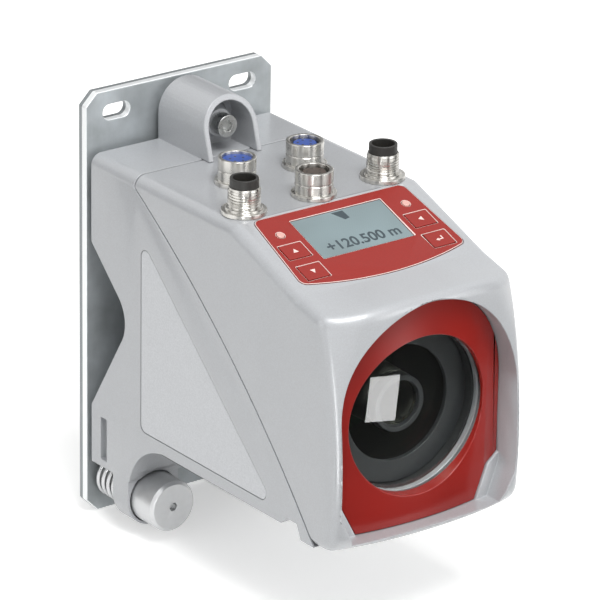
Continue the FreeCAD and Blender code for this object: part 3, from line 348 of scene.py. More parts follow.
def print_ink(name, base):
    """Screen-printed ink: flat, matt and slightly uneven in cover."""
    mat, tree, shader, place = surface(name, base, Roughness=0.55)
    cover = add(tree, "ShaderNodeTexNoise", {"Vector": place, "Scale": per(0.8), "Detail": 2.0})
    mottle(tree, shader, cover.outputs["Fac"], (shade(base, 0.95), base))
    return mat


# Who makes each finish. A maker is given the name of the finish.
MAKERS = {
    "silver_powder_coat": powder_coat,
    "zinc_plated_steel": zinc_plate,
    "nickel_plated_brass": nickel,
    # Steel off the lathe: a bright line on every edge.
    "turned_steel": lambda name: turned_metal(name, "#C6C7C6", 0.28, along="Y"),
    # Aluminium turned and then etched: pale, with a broad soft gloss.
    "satin_aluminium": lambda name: turned_metal(name, "#C9CACB", 0.42, 0.6, "Y", 0.015),
    # Drawn wire: a bright streak along each turn.
    "drawn_spring_wire": lambda name: turned_metal(name, "#C9CACB", 0.3, 0.8, "Y"),
    # Hard gold on the contacts: warm and clean.
    "gold_plate": lambda name: turned_metal(name, "#E2BE74", 0.2),
    # Bare brass: duller and browner than the gold.
    "turned_brass": lambda name: turned_metal(name, "#C3A05A", 0.3, along="Y"),
    # Moulded rubber: dull dark grey, so the joint reads as a line.
    "moulded_rubber": lambda name: moulded(name, "#5E5F62", 0.7, 0.8),
    "red_polycarbonate": polycarbonate,
    "printed_polyester": printed_foil,
    "float_glass": window_glass,
    "coated_lens_glass": coated_lens,
    # Black anodised aluminium: dark grey, with a soft sheen on its rings.
    "black_anodised": lambda name: moulded(name, "#3A3B3D", 0.38, 0.8, 0.1),
    # Matt lacquer inside the optics: dark and without gloss.
    "matt_black_lacquer": lambda name: moulded(name, "#333334", 0.6, 1.2, 0.05),
    # The foil's rounded edges are painted pale: a painted highlight, a pale line round the red.
    "foil_edge_painted_highlight": lambda name: print_ink(name, colours().print_and_edge_highlight),
    "liquid_crystal": liquid_crystal,
    "circuit_laminate": circuit_laminate,
    # Glass-filled polyamide: an even colour, half matt.
    "black_polyamide": lambda name: moulded(name, "#2B2A28", 0.5, 0.5),
    "brown_polyamide": lambda name: moulded(name, "#4A3F38", 0.5, 0.5),
    "blue_polyamide": lambda name: moulded(name, colours().blue, 0.42, 0.5),
    # Cast epoxy: a pale milky dome under a wet gloss.
    "clear_epoxy": lambda name: moulded(name, "#D8A79C", 0.25, 1.0, Coat_Weight=0.6),
    # Polyester label: pale and satin, with hardly any grain.
    "polyester_label": lambda name: moulded(name, "#C6C8CB", 0.4, 0.6, 0.1),
    # Screen print: light on the foil, slate grey on the display.
    "light_ink": lambda name: print_ink(name, colours().print_and_edge_highlight),
    "display_ink": lambda name: print_ink(name, "#39464C"),
}


def finish_of(name):
    """A material by its name, made when it is first asked for."""
    return bpy.data.materials.get(name) or MAKERS[name](name)


def smooth(mesh, angle=32):
    """Shades a mesh smooth, with its real edges kept sharp."""
    mesh.shade_smooth()
    mesh.set_sharp_from_angle(angle=math.radians(angle))


def put(name, data):
    """A new object in the scene."""
    thing = bpy.data.objects.new(name, data)
    bpy.context.scene.collection.objects.link(thing)
    return thing


def frozen(holder, place):
    """What an object shows, as a plain mesh at its place. The object goes."""
    graph = bpy.context.evaluated_depsgraph_get()
    mesh = bpy.data.meshes.new_from_object(holder.evaluated_get(graph))
    holder.modifiers.clear()
    bpy.data.objects.remove(holder)
    mesh.transform(place)
    return mesh


def made(name, mesh, finish, body="sensor", instead=()):
    """Puts a finished mesh in the scene as a piece of the sensor."""
    piece = put(name, mesh)
    mesh.materials.clear()
    mesh.materials.append(finish_of(finish))
    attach(piece, body)
    if instead:
        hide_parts(*instead)
    return piece


def carried(node, finish):
    """Shows a solid as it is, with its material."""
    piece = NODES[node]
    piece.data.materials.clear()
    piece.data.materials.append(finish_of(finish))


def softened(node, finish, edge, body="sensor", segments=2, edge_finish=None):
    """A solid with its triangles merged to clean faces and its edges rounded."""
    mesh = NODES[node].data.copy()
    work = bmesh.new()
    work.from_mesh(mesh)
    bmesh.ops.remove_doubles(work, verts=work.verts, dist=0.002 * MM)
    bmesh.ops.dissolve_limit(work, angle_limit=math.radians(0.3), verts=work.verts, edges=work.edges)
    work.to_mesh(mesh)
    work.free()
    piece = made(node + "_finished", mesh, finish, body, (node,))
    rounding = rounded(piece, edge, segments)
    if edge_finish:
        mesh.materials.append(finish_of(edge_finish))
        rounding.material = 1
    return piece


def rounded(piece, edge, segments=2):
    """Rounds a piece's edges, and leaves the facets of its curves."""
    angle = 28
    rounding = piece.modifiers.new("edges", "BEVEL")
    rounding.width = edge
    rounding.segments = segments
    rounding.limit_method = "ANGLE"
    rounding.angle_limit = math.radians(angle)
    rounding.use_clamp_overlap = False
    rounding.harden_normals = True
    rounding.miter_outer = "MITER_ARC"
    smooth(piece.data, angle)
    return rounding


def fillet(points, radius, closed, steps=4):
    """Rounds the corners of an outline of 2D points."""
    count = len(points)
    result = []
    for index, corner in enumerate(points):
        if not closed and index in (0, count - 1):
            result.append(Vector(corner))
            continue
        here = Vector(corner)
        before = Vector(points[index - 1]) - here
        after = Vector(points[(index + 1) % count]) - here
        turn = math.pi - before.angle(after)
        if turn < math.radians(12):
            result.append(here)
            continue
        reach = min(radius * math.tan(turn / 2), before.length * 0.48, after.length * 0.48)
        start = here + before.normalized() * reach
        end = here + after.normalized() * reach
        for step in range(steps + 1):
            share = step / steps
            result.append(start * (1 - share) ** 2 + here * 2 * share * (1 - share) + end * share ** 2)
    return result


def lathe(profile, centre, axis, edge, segments):
    """A turned mesh. The profile lists radius and distance along the axis, counter-clockwise."""
    closed = min(radius for radius, distance in profile) > 0
    turns = [2 * math.pi * k / segments for k in range(segments)]
    work = bmesh.new()
    rings = []
    for radius, distance in fillet(profile, edge, closed):
        rings.append([work.verts.new((radius * math.cos(turn), radius * math.sin(turn), distance))
                      for turn in (turns if radius > 1e-7 else [0.0])])
    pairs = list(zip(rings, rings[1:]))
    if closed:
        pairs.append((rings[-1], rings[0]))
    for first, second in pairs:
        for k in range(segments):
            following = (k + 1) % segments
            corners = []
            for ring, at in ((first, k), (first, following), (second, following), (second, k)):
                vert = ring[at % len(ring)]
                if vert not in corners:
                    corners.append(vert)
            if len(corners) > 2:
                work.faces.new(corners)
    bmesh.ops.recalc_face_normals(work, faces=work.faces)
    mesh = bpy.data.meshes.new("turned")
    work.to_mesh(mesh)
    work.free()
    if axis == "Y":
        mesh.transform(Matrix.Rotation(math.radians(90), 4, "X"))
    mesh.transform(Matrix.Translation(centre))
    smooth(mesh)
    return mesh


def pressed(outline, thick, place):
    """A thin sheet of a given outline. Its upper side lies at Z = 0 of its place."""
    shape = bpy.data.curves.new("pressed", "CURVE")
    shape.dimensions = "2D"
    shape.fill_mode = "BOTH"
    shape.extrude = thick / 2
    spline = shape.splines.new("POLY")
    spline.points.add(len(outline) - 1)
    for point, (x, y) in zip(spline.points, outline):
        point.co = (x, y, 0, 1)
    spline.use_cyclic_u = True
    mesh = frozen(put("pressed", shape), place @ Matrix.Translation((0, 0, -thick / 2)))
    work = bmesh.new()
    work.from_mesh(mesh)
    bmesh.ops.remove_doubles(work, verts=work.verts, dist=0.002 * MM)
    work.to_mesh(mesh)
    work.free()
    smooth(mesh)
    return mesh


def joined(meshes, name):
    """Several meshes as one."""
    work = bmesh.new()
    for mesh in meshes:
        work.from_mesh(mesh)
    whole = bpy.data.meshes.new(name)
    work.to_mesh(whole)
    work.free()
    smooth(whole)
    return whole


def geometry_tree(name, inputs):
    """An empty geometry tree with named inputs, its start node and its geometry output."""
    tree = bpy.data.node_groups.new(name, "GeometryNodeTree")
    tree.interface.new_socket("Geometry", in_out="OUTPUT", socket_type="NodeSocketGeometry")
    for label, kind, value in inputs:
        socket = tree.interface.new_socket(label, in_out="INPUT", socket_type="NodeSocket" + kind)
        if value is not None:
            socket.default_value = value
    return tree, add(tree, "NodeGroupInput").outputs, add(tree, "NodeGroupOutput")


def close_tree(tree, geometry, given, end):
    """Realizes what a tree has made, gives it its material and hands it over."""
    real = add(tree, "GeometryNodeRealizeInstances", {"Geometry": geometry})
    dressed = add(tree, "GeometryNodeSetMaterial", {"Geometry": real.outputs["Geometry"],
                                                    "Material": given["Material"]})
    tree.links.new(dressed.outputs["Geometry"], end.inputs["Geometry"])


def winding_tree():
    """A wire wound round the Z axis: a coil spring, or the ridge of a thread."""
    tree, given, end = geometry_tree("winding", [
        ("Radius", "Float", 5 * MM), ("Height", "Float", 10 * MM), ("Turns", "Float", 5.0),
        ("Wire", "Float", 0.5 * MM), ("Sides", "Int", 10), ("Steps", "Int", 40),
        ("Material", "Material", None)])
    helix = add(tree, "GeometryNodeCurveSpiral", {
        "Resolution": given["Steps"], "Rotations": given["Turns"], "Start Radius": given["Radius"],
        "End Radius": given["Radius"], "Height": given["Height"]})
    loop = add(tree, "GeometryNodeCurvePrimitiveCircle", {"Resolution": given["Sides"],
                                                          "Radius": given["Wire"]}, mode="RADIUS")
    wire = add(tree, "GeometryNodeCurveToMesh", {"Curve": helix.outputs["Curve"],
                                                 "Profile Curve": loop.outputs["Curve"], "Fill Caps": True})
    close_tree(tree, wire.outputs["Mesh"], given, end)
    return tree


def ring_tree():
    """Round posts on a circle: contact pins, or flat dark discs painted where the contact holes are, as
    painted shade.
    """
    tree, given, end = geometry_tree("posts_on_circle", [
        ("Count", "Int", 5), ("Circle", "Float", 2.6 * MM), ("Radius", "Float", 0.5 * MM),
        ("Height", "Float", 6 * MM), ("Tip", "Float", 0.3 * MM), ("Material", "Material", None)])
    spots = add(tree, "GeometryNodeMeshCircle", {"Vertices": given["Count"], "Radius": given["Circle"]})
    post = add(tree, "GeometryNodeMeshCylinder", {"Vertices": 20, "Radius": given["Radius"],
                                                  "Depth": given["Height"]})
    half = add(tree, "ShaderNodeMath", {0: given["Height"], 1: 0.5}, operation="MULTIPLY")
    lift = add(tree, "ShaderNodeCombineXYZ", {"Z": half.outputs["Value"]})
    stood = add(tree, "GeometryNodeTransform", {"Geometry": post.outputs["Mesh"],
                                                "Translation": lift.outputs["Vector"]})
    tip = add(tree, "GeometryNodeMeshUVSphere", {"Segments": 20, "Rings": 10, "Radius": given["Radius"]})
    flat = add(tree, "ShaderNodeMath", {0: given["Tip"], 1: given["Radius"]}, operation="DIVIDE")
    squash = add(tree, "ShaderNodeCombineXYZ", {"X": 1.0, "Y": 1.0, "Z": flat.outputs["Value"]})
    raise_tip = add(tree, "ShaderNodeCombineXYZ", {"Z": given["Height"]})
    capped = add(tree, "GeometryNodeTransform", {"Geometry": tip.outputs["Mesh"],
                                                 "Translation": raise_tip.outputs["Vector"],
                                                 "Scale": squash.outputs["Vector"]})
    both = add(tree, "GeometryNodeJoinGeometry", {"Geometry": stood.outputs["Geometry"]})
    tree.links.new(capped.outputs["Geometry"], both.inputs["Geometry"])
    set_out = add(tree, "GeometryNodeInstanceOnPoints", {"Points": spots.outputs["Mesh"],
                                                         "Instance": both.outputs["Geometry"]})
    close_tree(tree, set_out.outputs["Instances"], given, end)
    return tree


TREES = {"winding": winding_tree, "posts_on_circle": ring_tree}


def grown(tree_name, finish, place, **values):
    """Runs a tree with its inputs set and keeps the outcome as a plain mesh."""
    tree = bpy.data.node_groups.get(tree_name) or TREES[tree_name]()
    holder = put(tree_name, bpy.data.meshes.new(tree_name))
    modifier = holder.modifiers.new(tree_name, "NODES")
    modifier.node_group = tree
    values["Material"] = finish_of(finish)
    for socket in tree.interface.items_tree:
        if socket.in_out == "INPUT" and socket.name in values:
            modifier[socket.identifier] = values[socket.name]
    mesh = frozen(holder, place)
    smooth(mesh)
    return mesh


def slope():
    """The keypad face: X across, Y up the slope from the crease, Z out of the face."""
    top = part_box("front_hood")[1].z
    return Matrix.Translation((0, -sizes().crease, top)) @ Matrix.Rotation(sizes().keypad_tilt, 4, "X")


def on_face(rise, x, y):
    """A place on the keypad face, raised above it."""
    return slope() @ Matrix.Translation((x, y, rise))


def place_on_face(node):
    """The middle of a solid across and up the keypad face, and the height of its upper side."""
    flat = slope().inverted()
    centre = flat @ middle(node)
    return centre.x, centre.y, max((flat @ vertex.co).z for vertex in NODES[node].data.vertices)


def forward(centre):
    """Turns what stands along Z to lie along the depth, pointing forwards from a place."""
    return Matrix.Translation(centre) @ Matrix.Rotation(math.radians(90), 4, "X")


class SENSOR_OT_castings(bpy.types.Operator):
    """Finish both castings and the seal between them"""
    bl_idname = "sensor.castings"
    bl_label = "Castings"

    def execute(self, context):
        for node, edge in (("front_hood", sizes().cast_edge), ("rear_housing", sizes().pocket_edge)):
            softened(node, "silver_powder_coat", edge)
        self.tower_rim()
        carried("housing_gasket", "moulded_rubber")
        return {"FINISHED"}

    def tower_rim(self):
        """The rim round the tower's recess. Its front leans back, and its foot stands over the joint."""
        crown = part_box("rear_housing")[1].z
        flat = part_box("front_hood")[1].z
        outer, inner, back, air = 12.03 * MM, 9.75 * MM, 32.0 * MM, 0.05 * MM
        centre = crown - 12.04 * MM
        arch = [math.radians(180 - 7.5 * k) for k in range(25)]
        outlines = [[(-radius, flat + air)]
                    + [(radius * math.cos(turn), centre + radius * math.sin(turn)) for turn in arch]
                    + [(radius, flat + air)] for radius in (outer, inner)]
        work = bmesh.new()
        rows = []
        for outside, inside in zip(*outlines):
            fronts = [sizes().tower_foot + air - (z - flat) * math.tan(sizes().tower_lean)
                      for x, z in (outside, inside)]
            rows.append([work.verts.new((x, -depth, z)) for (x, z), depth in (
                (outside, back), (outside, fronts[0]), (inside, fronts[1]), (inside, back))])
        for first, second in zip(rows, rows[1:]):
            for k in range(4):
                work.faces.new((first[k], first[(k + 1) % 4], second[(k + 1) % 4], second[k]))
        work.faces.new(rows[0])
        work.faces.new(rows[-1])
        bmesh.ops.recalc_face_normals(work, faces=work.faces)
        mesh = bpy.data.meshes.new("tower_rim")
        work.to_mesh(mesh)
        work.free()
        rounded(made("tower_rim", mesh, "silver_powder_coat"), sizes().cast_edge)


class SENSOR_OT_wall_plate(bpy.types.Operator):
    """Finish the wall plate"""
    bl_idname = "sensor.wall_plate"
    bl_label = "Wall plate"

    def execute(self, context):
        softened("mounting_plate", "zinc_plated_steel", sizes().sheet_edge, "mount", 3)
        return {"FINISHED"}


class SENSOR_OT_window(bpy.types.Operator):
    """Finish the bezel, the glass and the optics behind it"""
    bl_idname = "sensor.window"
    bl_label = "Window"

    def execute(self, context):
        softened("front_bezel", "red_polycarbonate", 0.4 * MM)
        glass = size("front_window")
        spot = middle("front_window") + Vector((0, glass.y / 2, 0))
        disc = lathe([(0, 0), (glass.x / 2, 0), (glass.x / 2, glass.y), (0, glass.y)], spot, "Y",
                     0.4 * MM, 128)
        panes = [made("window_glass", disc, "float_glass", instead=("front_window",))]
        # The rim of the glass is blackened, as on any instrument window.
        disc.materials.append(finish_of("matt_black_lacquer"))
        for face in disc.polygons:
            face.material_index = int(abs(face.normal.y) < 0.5)
        carried("lens_barrel", "matt_black_lacquer")
        for node in ("lens_ring", "sender_tube"):
            softened(node, "black_anodised", 0.35 * MM, segments=3)
        for node in ("receiver_lens", "sender_lens"):
            carried(node, "coated_lens_glass")
            panes.append(NODES[node])
        for pane in panes:
            # The lamps light the optics through the clear panes.
            pane.visible_shadow = False
        return {"FINISHED"}


class SENSOR_OT_keypad(bpy.types.Operator):
    """Finish the foil, its keys, their marks and the status lamps"""
    bl_idname = "sensor.keypad"
    bl_label = "Keypad"

    def execute(self, context):
        # The foil's rounded edges get a pale painted highlight.
        softened("keypad_foil", "printed_polyester", 0.2 * MM, edge_finish="foil_edge_painted_highlight")
        for node, mark in KEYS.items():
            softened(node, "printed_polyester", 0.15 * MM, node, 3)
            self.print_on(node, mark)
        for node in ("lamp_left", "lamp_right"):
            softened(node, "clear_epoxy", 0.25 * MM, segments=3)
        return {"FINISHED"}

    def print_on(self, node, mark):
        """The symbol on a key."""
        x, y, top = place_on_face(node)
        outline = {
            "up": [(-1, -0.8), (1, -0.8), (0, 1)],
            "down": [(0, -1), (1, 0.8), (-1, 0.8)],
            "back": [(-1, 0), (0.8, -1), (0.8, 1)],
            "enter": [(-1.6, -0.4), (-0.4, -1.1), (-0.4, -0.6), (1.4, -0.6), (1.4, 1.1), (0.9, 1.1),
                      (0.9, -0.2), (-0.4, -0.2), (-0.4, 0.3)],
        }[mark]
        reach, ink = 1.1 * MM, 0.04 * MM
        sign = pressed([Vector(corner) * reach for corner in outline], ink, on_face(top + ink * 0.6, x, y))
        made(node + "_print", sign, "light_ink", node)


class SENSOR_OT_display(bpy.types.Operator):
    """Finish the display and its reading"""
    bl_idname = "sensor.display"
    bl_label = "Display"

    def execute(self, context):
        softened("display_window", "liquid_crystal", 0.1 * MM)
        carried("display_module", "liquid_crystal")
        x, y, level = place_on_face("display_window")
        rise = level + 0.03 * MM
        words = bpy.data.curves.new("reading", "FONT")
        words.body = sizes().reading
        words.size = 6.67 * MM
        words.align_x = "RIGHT"
        words.offset = 0.13 * MM
        words.extrude = 0.01 * MM
        mesh = frozen(put("reading", words), on_face(rise, x + 17.0 * MM, y - 8.2 * MM))
        wedge = [Vector(corner) * MM for corner in ((-2.5, 0), (0.8, -4.6), (3.0, -4.2), (2.6, 0))]
        flag = pressed(wedge, 0.03 * MM, on_face(rise, x, y + 10.0 * MM))
        made("display_reading", joined([mesh, flag], "display_reading"), "display_ink")
        return {"FINISHED"}


class SENSOR_OT_connectors(bpy.types.Operator):
    """Finish the five round connectors"""
    bl_idname = "sensor.connectors"
    bl_label = "Connectors"

    def execute(self, context):
        for node in PLUGS:
            self.shell(node, 6.0 * MM, 5.3 * MM, True)
            softened(node + "_block", "black_polyamide", 0.3 * MM)
            self.pins(node)
        for node, finish in SOCKETS.items():
            self.shell(node, 7.0 * MM, 5.6 * MM, False)
            softened(node + "_block", finish, 0.3 * MM)
            self.painted_mouth_shade(node)
        return {"FINISHED"}

    def shell(self, node, outer, inner, threaded):
        """The plated shell: flange, ring and, on a plug, its thread."""
        low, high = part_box(node)
        foot, flange = high.z - low.z, (high.x - low.x) / 2
        spot = Vector((*middle(node).xy, low.z))
        shank, base = 7.0 * MM, foot - 10.0 * MM
        rim = base + 1.6 * MM
        tube = outer - 0.45 * MM if threaded else outer
        profile = [(inner, 0), (shank, 0), (shank, base), (flange, base), (flange, rim)]
        if threaded:
            collar, step = outer + 0.7 * MM, rim + 0.8 * MM
            profile += [(collar, rim), (collar, step), (tube, step)]
        else:
            groove = outer - 0.25 * MM
            profile += [(outer, rim), (outer, rim + 3.4 * MM), (groove, rim + 3.6 * MM),
                        (groove, rim + 4.0 * MM), (outer, rim + 4.2 * MM)]
        profile += [(tube, foot), (inner, foot)]
        parts = [lathe(profile, spot, "Z", 0.25 * MM, 96)]
        if threaded:
            pitch = sizes().thread_pitch
            start = rim + 1.6 * MM
            run = foot - start - pitch * 0.4
            ridge = 0.42 * MM
            parts.append(grown("winding", "nickel_plated_brass",
                               Matrix.Translation(spot + Vector((0, 0, start))),
                               Radius=outer - ridge, Height=run, Turns=run / pitch, Wire=ridge, Sides=4,
                               Steps=64))
        made(node + "_shell", joined(parts, node), "nickel_plated_brass", instead=(node,))

    def pins(self, node):
        """The contact pins in a plug's cup."""
        low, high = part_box(node + "_contacts")
        spot = Vector((*middle(node).xy, low.z))
        tip = 0.3 * MM
        mesh = grown("posts_on_circle", "gold_plate",
                     Matrix.Translation(spot) @ Matrix.Rotation(math.pi / sizes().contacts, 4, "Z"),
                     Count=sizes().contacts, Circle=sizes().contact_circle, Radius=0.5 * MM,
                     Height=high.z - low.z - tip, Tip=tip)
        made(node + "_pins", mesh, "gold_plate", instead=(node + "_contacts",))

    def painted_mouth_shade(self, node):
        """Flat dark discs on a socket's block where the contacts' mouths are: painted shade of the holes.
        """
        spot = Vector((*middle(node).xy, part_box(node + "_block")[1].z))
        # Black discs only hundredths of a millimetre high: painted shade standing in for the contact holes.
        mesh = grown("posts_on_circle", "black_polyamide", Matrix.Translation(spot),
                     Count=sizes().contacts, Circle=sizes().contact_circle, Radius=0.5 * MM,
                     Height=0.02 * MM, Tip=0.03 * MM)
        made(node + "_mouths", mesh, "black_polyamide")


class SENSOR_OT_fasteners(bpy.types.Operator):
    """Finish the screws, the nut, the stud and the springs"""
    bl_idname = "sensor.fasteners"
    bl_label = "Fasteners"

    def execute(self, context):
        for node, finish, slot, body, segments in (
                ("top_screw", "turned_steel", "steel", "top_screw", 3),
                ("alignment_screw", "turned_steel", "steel", "alignment_screw", 3),
                ("clamping_nut", "satin_aluminium", "nut_metal", "clamping_nut", 3),
                ("ball_washer", "turned_steel", "steel", "ball_seat", 2),
                ("pivot_stud", "turned_steel", "steel", "mount", 2)):
            softened(node, finish, sizes().small_edge, body, segments)
        for node, wire in (("pivot_spring", 1.0), ("alignment_spring", 1.0), ("top_spring", 0.6)):
            self.coil(node, wire * MM)
        return {"FINISHED"}

    def coil(self, node, wire):
        """A coil spring in the room of its sleeve."""
        low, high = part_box(node)
        rise = high.y - low.y - 2 * wire
        start = Vector((middle(node).x, high.y - wire, middle(node).z))
        mesh = grown("winding", "drawn_spring_wire", forward(start), Radius=(high.x - low.x) / 2 - wire,
                     Height=rise, Turns=sizes().spring_turns, Wire=wire, Sides=12, Steps=48)
        made(node + "_coil", mesh, "drawn_spring_wire", "mount", (node,))


class SENSOR_OT_name_plate(bpy.types.Operator):
    """Finish the name plate on the side"""
    bl_idname = "sensor.name_plate"
    bl_label = "Name plate"

    def execute(self, context):
        softened("name_plate", "polyester_label", 0.1 * MM)
        return {"FINISHED"}


class SENSOR_OT_electronics(bpy.types.Operator):
    """Finish the boards and the laser module inside"""
    bl_idname = "sensor.electronics"
    bl_label = "Electronics"

    def execute(self, context):
        for node in ("detector_board", "main_board", "display_board"):
            carried(node, "circuit_laminate")
        carried("laser_module", "turned_brass")
        return {"FINISHED"}


class SensorView(bpy.types.PropertyGroup):
    """Camera and lamps."""
    turn: FloatProperty(name="Turn", description="Camera's turn about the upright", subtype="ANGLE",
                        default=math.radians(36.96))
    drop: FloatProperty(name="Drop", description="Camera's look downwards", subtype="ANGLE",
                        default=math.radians(21.89))
    roll: FloatProperty(name="Roll", description="Camera's roll", subtype="ANGLE",
                        default=math.radians(-0.858))
    place: FloatVectorProperty(name="Place", description="Lower middle of the plate, seen by the camera: "
                               "to the right, downwards and away", subtype="TRANSLATION",
                               default=(-0.04954, 0.06953, 1.91824))
    lens: FloatProperty(name="Lens", description="Focal length in millimetres on a 36 mm sensor",
                        default=301.15)
    sky: FloatProperty(name="Sky", description="Light from all round", default=0.55)


class SENSOR_OT_stage(bpy.types.Operator):
    """Set up the floor, the lamps and the camera"""
    bl_idname = "sensor.stage"
    bl_label = "Stage"

    def execute(self, context):
        self.floor()
        self.world(context)
        for name, spot, side, power in (("key_light", (-0.25, -0.95, 1.65), 0.9, 27.0),
                                        ("front_light", (0.75, -1.5, 0.5), 0.7, 4.0),
                                        ("side_light", (-1.6, 0.1, 0.45), 0.8, 1.6)):
            self.lamp(name, spot, (side, side), power)
        for turn, wide in ((-130, 0.35), (-58, 0.28), (3, 0.2), (62, 0.35), (150, 0.4)):
            self.card("card_%d" % (turn % 360), math.radians(turn), wide)
        self.dark_cloth()
        self.mirror_lamps(context)
        self.camera(context)
        context.scene.view_settings.view_transform = "Standard"
        return {"FINISHED"}

    def floor(self):
        """A plain pale floor under the plate: white to the camera and in gloss, with a soft shadow."""
        mat, tree, shader, place = surface("pale_paper", "#F4F4F3", Roughness=0.9)
        glow = add(tree, "ShaderNodeEmission", {"Color": linear("#FFFFFF"),
                                                "Strength": self.seen(tree, 0.0, 0.4)})
        both = add(tree, "ShaderNodeAddShader", {0: shader.outputs["BSDF"], 1: glow.outputs["Emission"]})
        tree.links.new(both.outputs["Shader"], tree.nodes["Material Output"].inputs["Surface"])
        reach, level = 4.0, PLATE[0].z - 1.0 * MM
        self.sheet("floor", [(reach * x, reach * y, level)
                             for x, y in ((-1, -1), (1, -1), (1, 1), (-1, 1))], mat)

    def sheet(self, name, corners, mat):
        """One flat face of the stage."""
        mesh = bpy.data.meshes.new(name)
        mesh.from_pydata(corners, [], [(0, 1, 2, 3)])
        mesh.materials.append(mat)
        piece = put(name, mesh)
        return piece

    def seen(self, tree, lit, shown):
        """One strength for light on the object, another for the camera, gloss and clear glass."""
        path = add(tree, "ShaderNodeLightPath").outputs
        one = add(tree, "ShaderNodeMath", {0: path["Is Camera Ray"], 1: path["Is Glossy Ray"]},
                  operation="MAXIMUM")
        any_of = add(tree, "ShaderNodeMath", {0: one.outputs["Value"], 1: path["Is Transmission Ray"]},
                     operation="MAXIMUM")
        return add(tree, "ShaderNodeMapRange", {"Value": any_of.outputs["Value"], "To Min": lit,
                                                "To Max": shown}).outputs["Result"]

    def card(self, name, turn, wide):
        """A dark upright card round the object: it parts the streaks on bright metal."""
        away = Vector((math.sin(turn), -math.cos(turn), 0)) * 0.85
        side = Vector((math.cos(turn), math.sin(turn), 0)) * wide / 2
        foot, head = Vector((0, 0, PLATE[0].z)), Vector((0, 0, 0.75))
        self.velvet(name, [away - side + foot, away + side + foot, away + side + head,
                           away - side + head])

    def dark_cloth(self):
        """A dark cloth on the floor in front, which keeps the window and the bezel deep in colour."""
        level = PLATE[0].z
        near, far, left, right = -0.19, -0.75, -0.35, 0.55
        self.velvet("dark_cloth", [(left, far, level), (right, far, level), (right, near, level),
                                   (left, near, level)])

    def velvet(self, name, corners):
        """Something dark on the stage that only gloss and glass show."""
        mat = bpy.data.materials.get("black_velvet") or surface("black_velvet", "#0B0B0C", Roughness=1.0)[0]
        piece = self.sheet(name, corners, mat)
        piece.visible_camera = piece.visible_diffuse = piece.visible_shadow = False

    def mirror_lamps(self, context):
        """Two small lamps low in front: the window mirrors one, the hood's upright corner the other."""
        pane = middle("front_window") + Vector((-25 * MM, 0, 13 * MM))
        corner = Vector((*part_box("front_hood")[0].xy, 30 * MM))
        for name, spot, turn, away, shape, power in (
                ("window_light", pane, 36.96, 0.16, (0.021, 0.027), 0.018),
                ("corner_light", corner, -53, 0.18, (0.03, 0.1), 0.1)):
            turn, drop = math.radians(turn), context.scene.sensor_view.drop
            course = Vector((math.sin(turn) * math.cos(drop), -math.cos(turn) * math.cos(drop),
                             -math.sin(drop)))
            lamp = self.lamp(name, spot + course * away, shape, power, spot)
            lamp.visible_diffuse = lamp.visible_transmission = False

    def world(self, context):
        """A white background for the camera and in reflections, and a softer one as light."""
        world = bpy.data.worlds.new("studio")
        context.scene.world = world
        world.use_nodes = True
        tree = world.node_tree
        back = tree.nodes["Background"]
        back.inputs["Color"].default_value = (1, 1, 1, 1)
        tree.links.new(self.seen(tree, context.scene.sensor_view.sky, 1.0), back.inputs["Strength"])

    def lamp(self, name, spot, shape, power, target=None):
        """A soft lamp that looks at the middle of the object, or at a target."""
        light = bpy.data.lights.new(name, "AREA")
        light.shape = "RECTANGLE"
        light.size, light.size_y = shape
        light.energy = power
        lamp = put(name, light)
        lamp.location = spot
        aim = (target or (CAD_BOX[0] + CAD_BOX[1]) / 2) - Vector(spot)
        lamp.rotation_euler = aim.to_track_quat("-Z", "Y").to_euler()
        return lamp

    def camera(self, context):
        """The camera stands where the photograph was taken from."""
        view = context.scene.sensor_view
        ahead = Vector((math.sin(view.turn) * math.cos(view.drop),
                        math.cos(view.turn) * math.cos(view.drop), -math.sin(view.drop)))
        level = Vector((math.cos(view.turn), -math.sin(view.turn), 0))
        down = ahead.cross(level)
        right = math.cos(view.roll) * level + math.sin(view.roll) * down
        below = -math.sin(view.roll) * level + math.cos(view.roll) * down
        offset = right * view.place[0] + below * view.place[1] + ahead * view.place[2]
        spot = Vector((0, 0, PLATE[0].z)) - offset
        data = bpy.data.cameras.new("camera")
        data.lens = view.lens
        data.sensor_width = 36
        data.clip_start = 0.05
        data.clip_end = 50
        camera = put("camera", data)
        turn = Matrix((right, -below, -ahead)).transposed()
        camera.matrix_world = Matrix.Translation(spot) @ turn.to_4x4()
        context.scene.camera = camera


OPERATORS = (SENSOR_OT_castings, SENSOR_OT_wall_plate, SENSOR_OT_window, SENSOR_OT_keypad,
             SENSOR_OT_display, SENSOR_OT_connectors, SENSOR_OT_fasteners, SENSOR_OT_name_plate,
             SENSOR_OT_electronics, SENSOR_OT_stage)


class SENSOR_PT_panel(bpy.types.Panel):
    """Shows the sensor's colours, sizes and view, and a button for each finishing step"""
    bl_idname = "SENSOR_PT_panel"
    bl_label = "Distance sensor"
    bl_space_type = "VIEW_3D"
    bl_region_type = "UI"
    bl_category = "Sensor"

    def draw(self, context):
        layout = self.layout
        for group in (context.scene.sensor_colours, context.scene.sensor_sizes, context.scene.sensor_view):
            for name in group.bl_rna.properties.keys():
                if name not in ("rna_type", "name"):
                    layout.prop(group, name)
        for operator in OPERATORS:
            layout.operator(operator.bl_idname)


GROUPS = {"sensor_colours": SensorColours, "sensor_sizes": SensorSizes, "sensor_view": SensorView}


def register():
    for kind in (*GROUPS.values(), *OPERATORS, SENSOR_PT_panel):
        bpy.utils.register_class(kind)
    for name, kind in GROUPS.items():
        setattr(bpy.types.Scene, name, PointerProperty(type=kind))


def unregister():
    for name in GROUPS:
        delattr(bpy.types.Scene, name)
    for kind in reversed((*GROUPS.values(), *OPERATORS, SENSOR_PT_panel)):
        bpy.utils.unregister_class(kind)


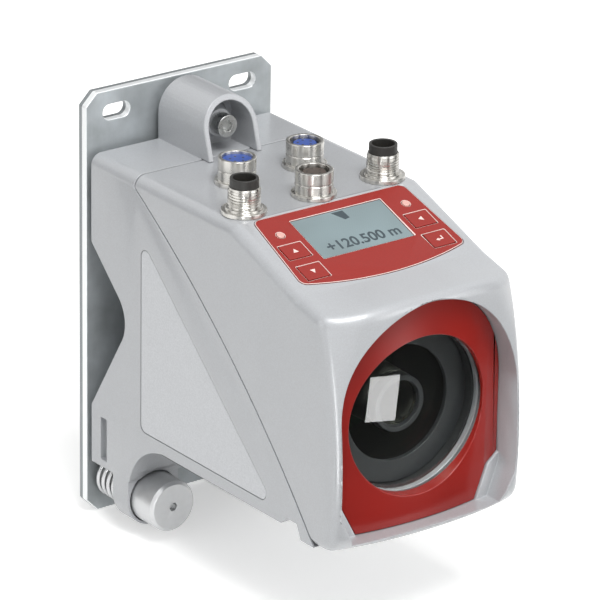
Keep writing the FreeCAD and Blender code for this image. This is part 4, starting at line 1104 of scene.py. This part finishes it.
def main():
    register()
    bpy.ops.sensor.castings()
    bpy.ops.sensor.wall_plate()
    bpy.ops.sensor.window()
    bpy.ops.sensor.keypad()
    bpy.ops.sensor.display()
    bpy.ops.sensor.connectors()
    bpy.ops.sensor.fasteners()
    bpy.ops.sensor.name_plate()
    bpy.ops.sensor.electronics()
    bpy.ops.sensor.stage()


if __name__ == "__main__":
    main()
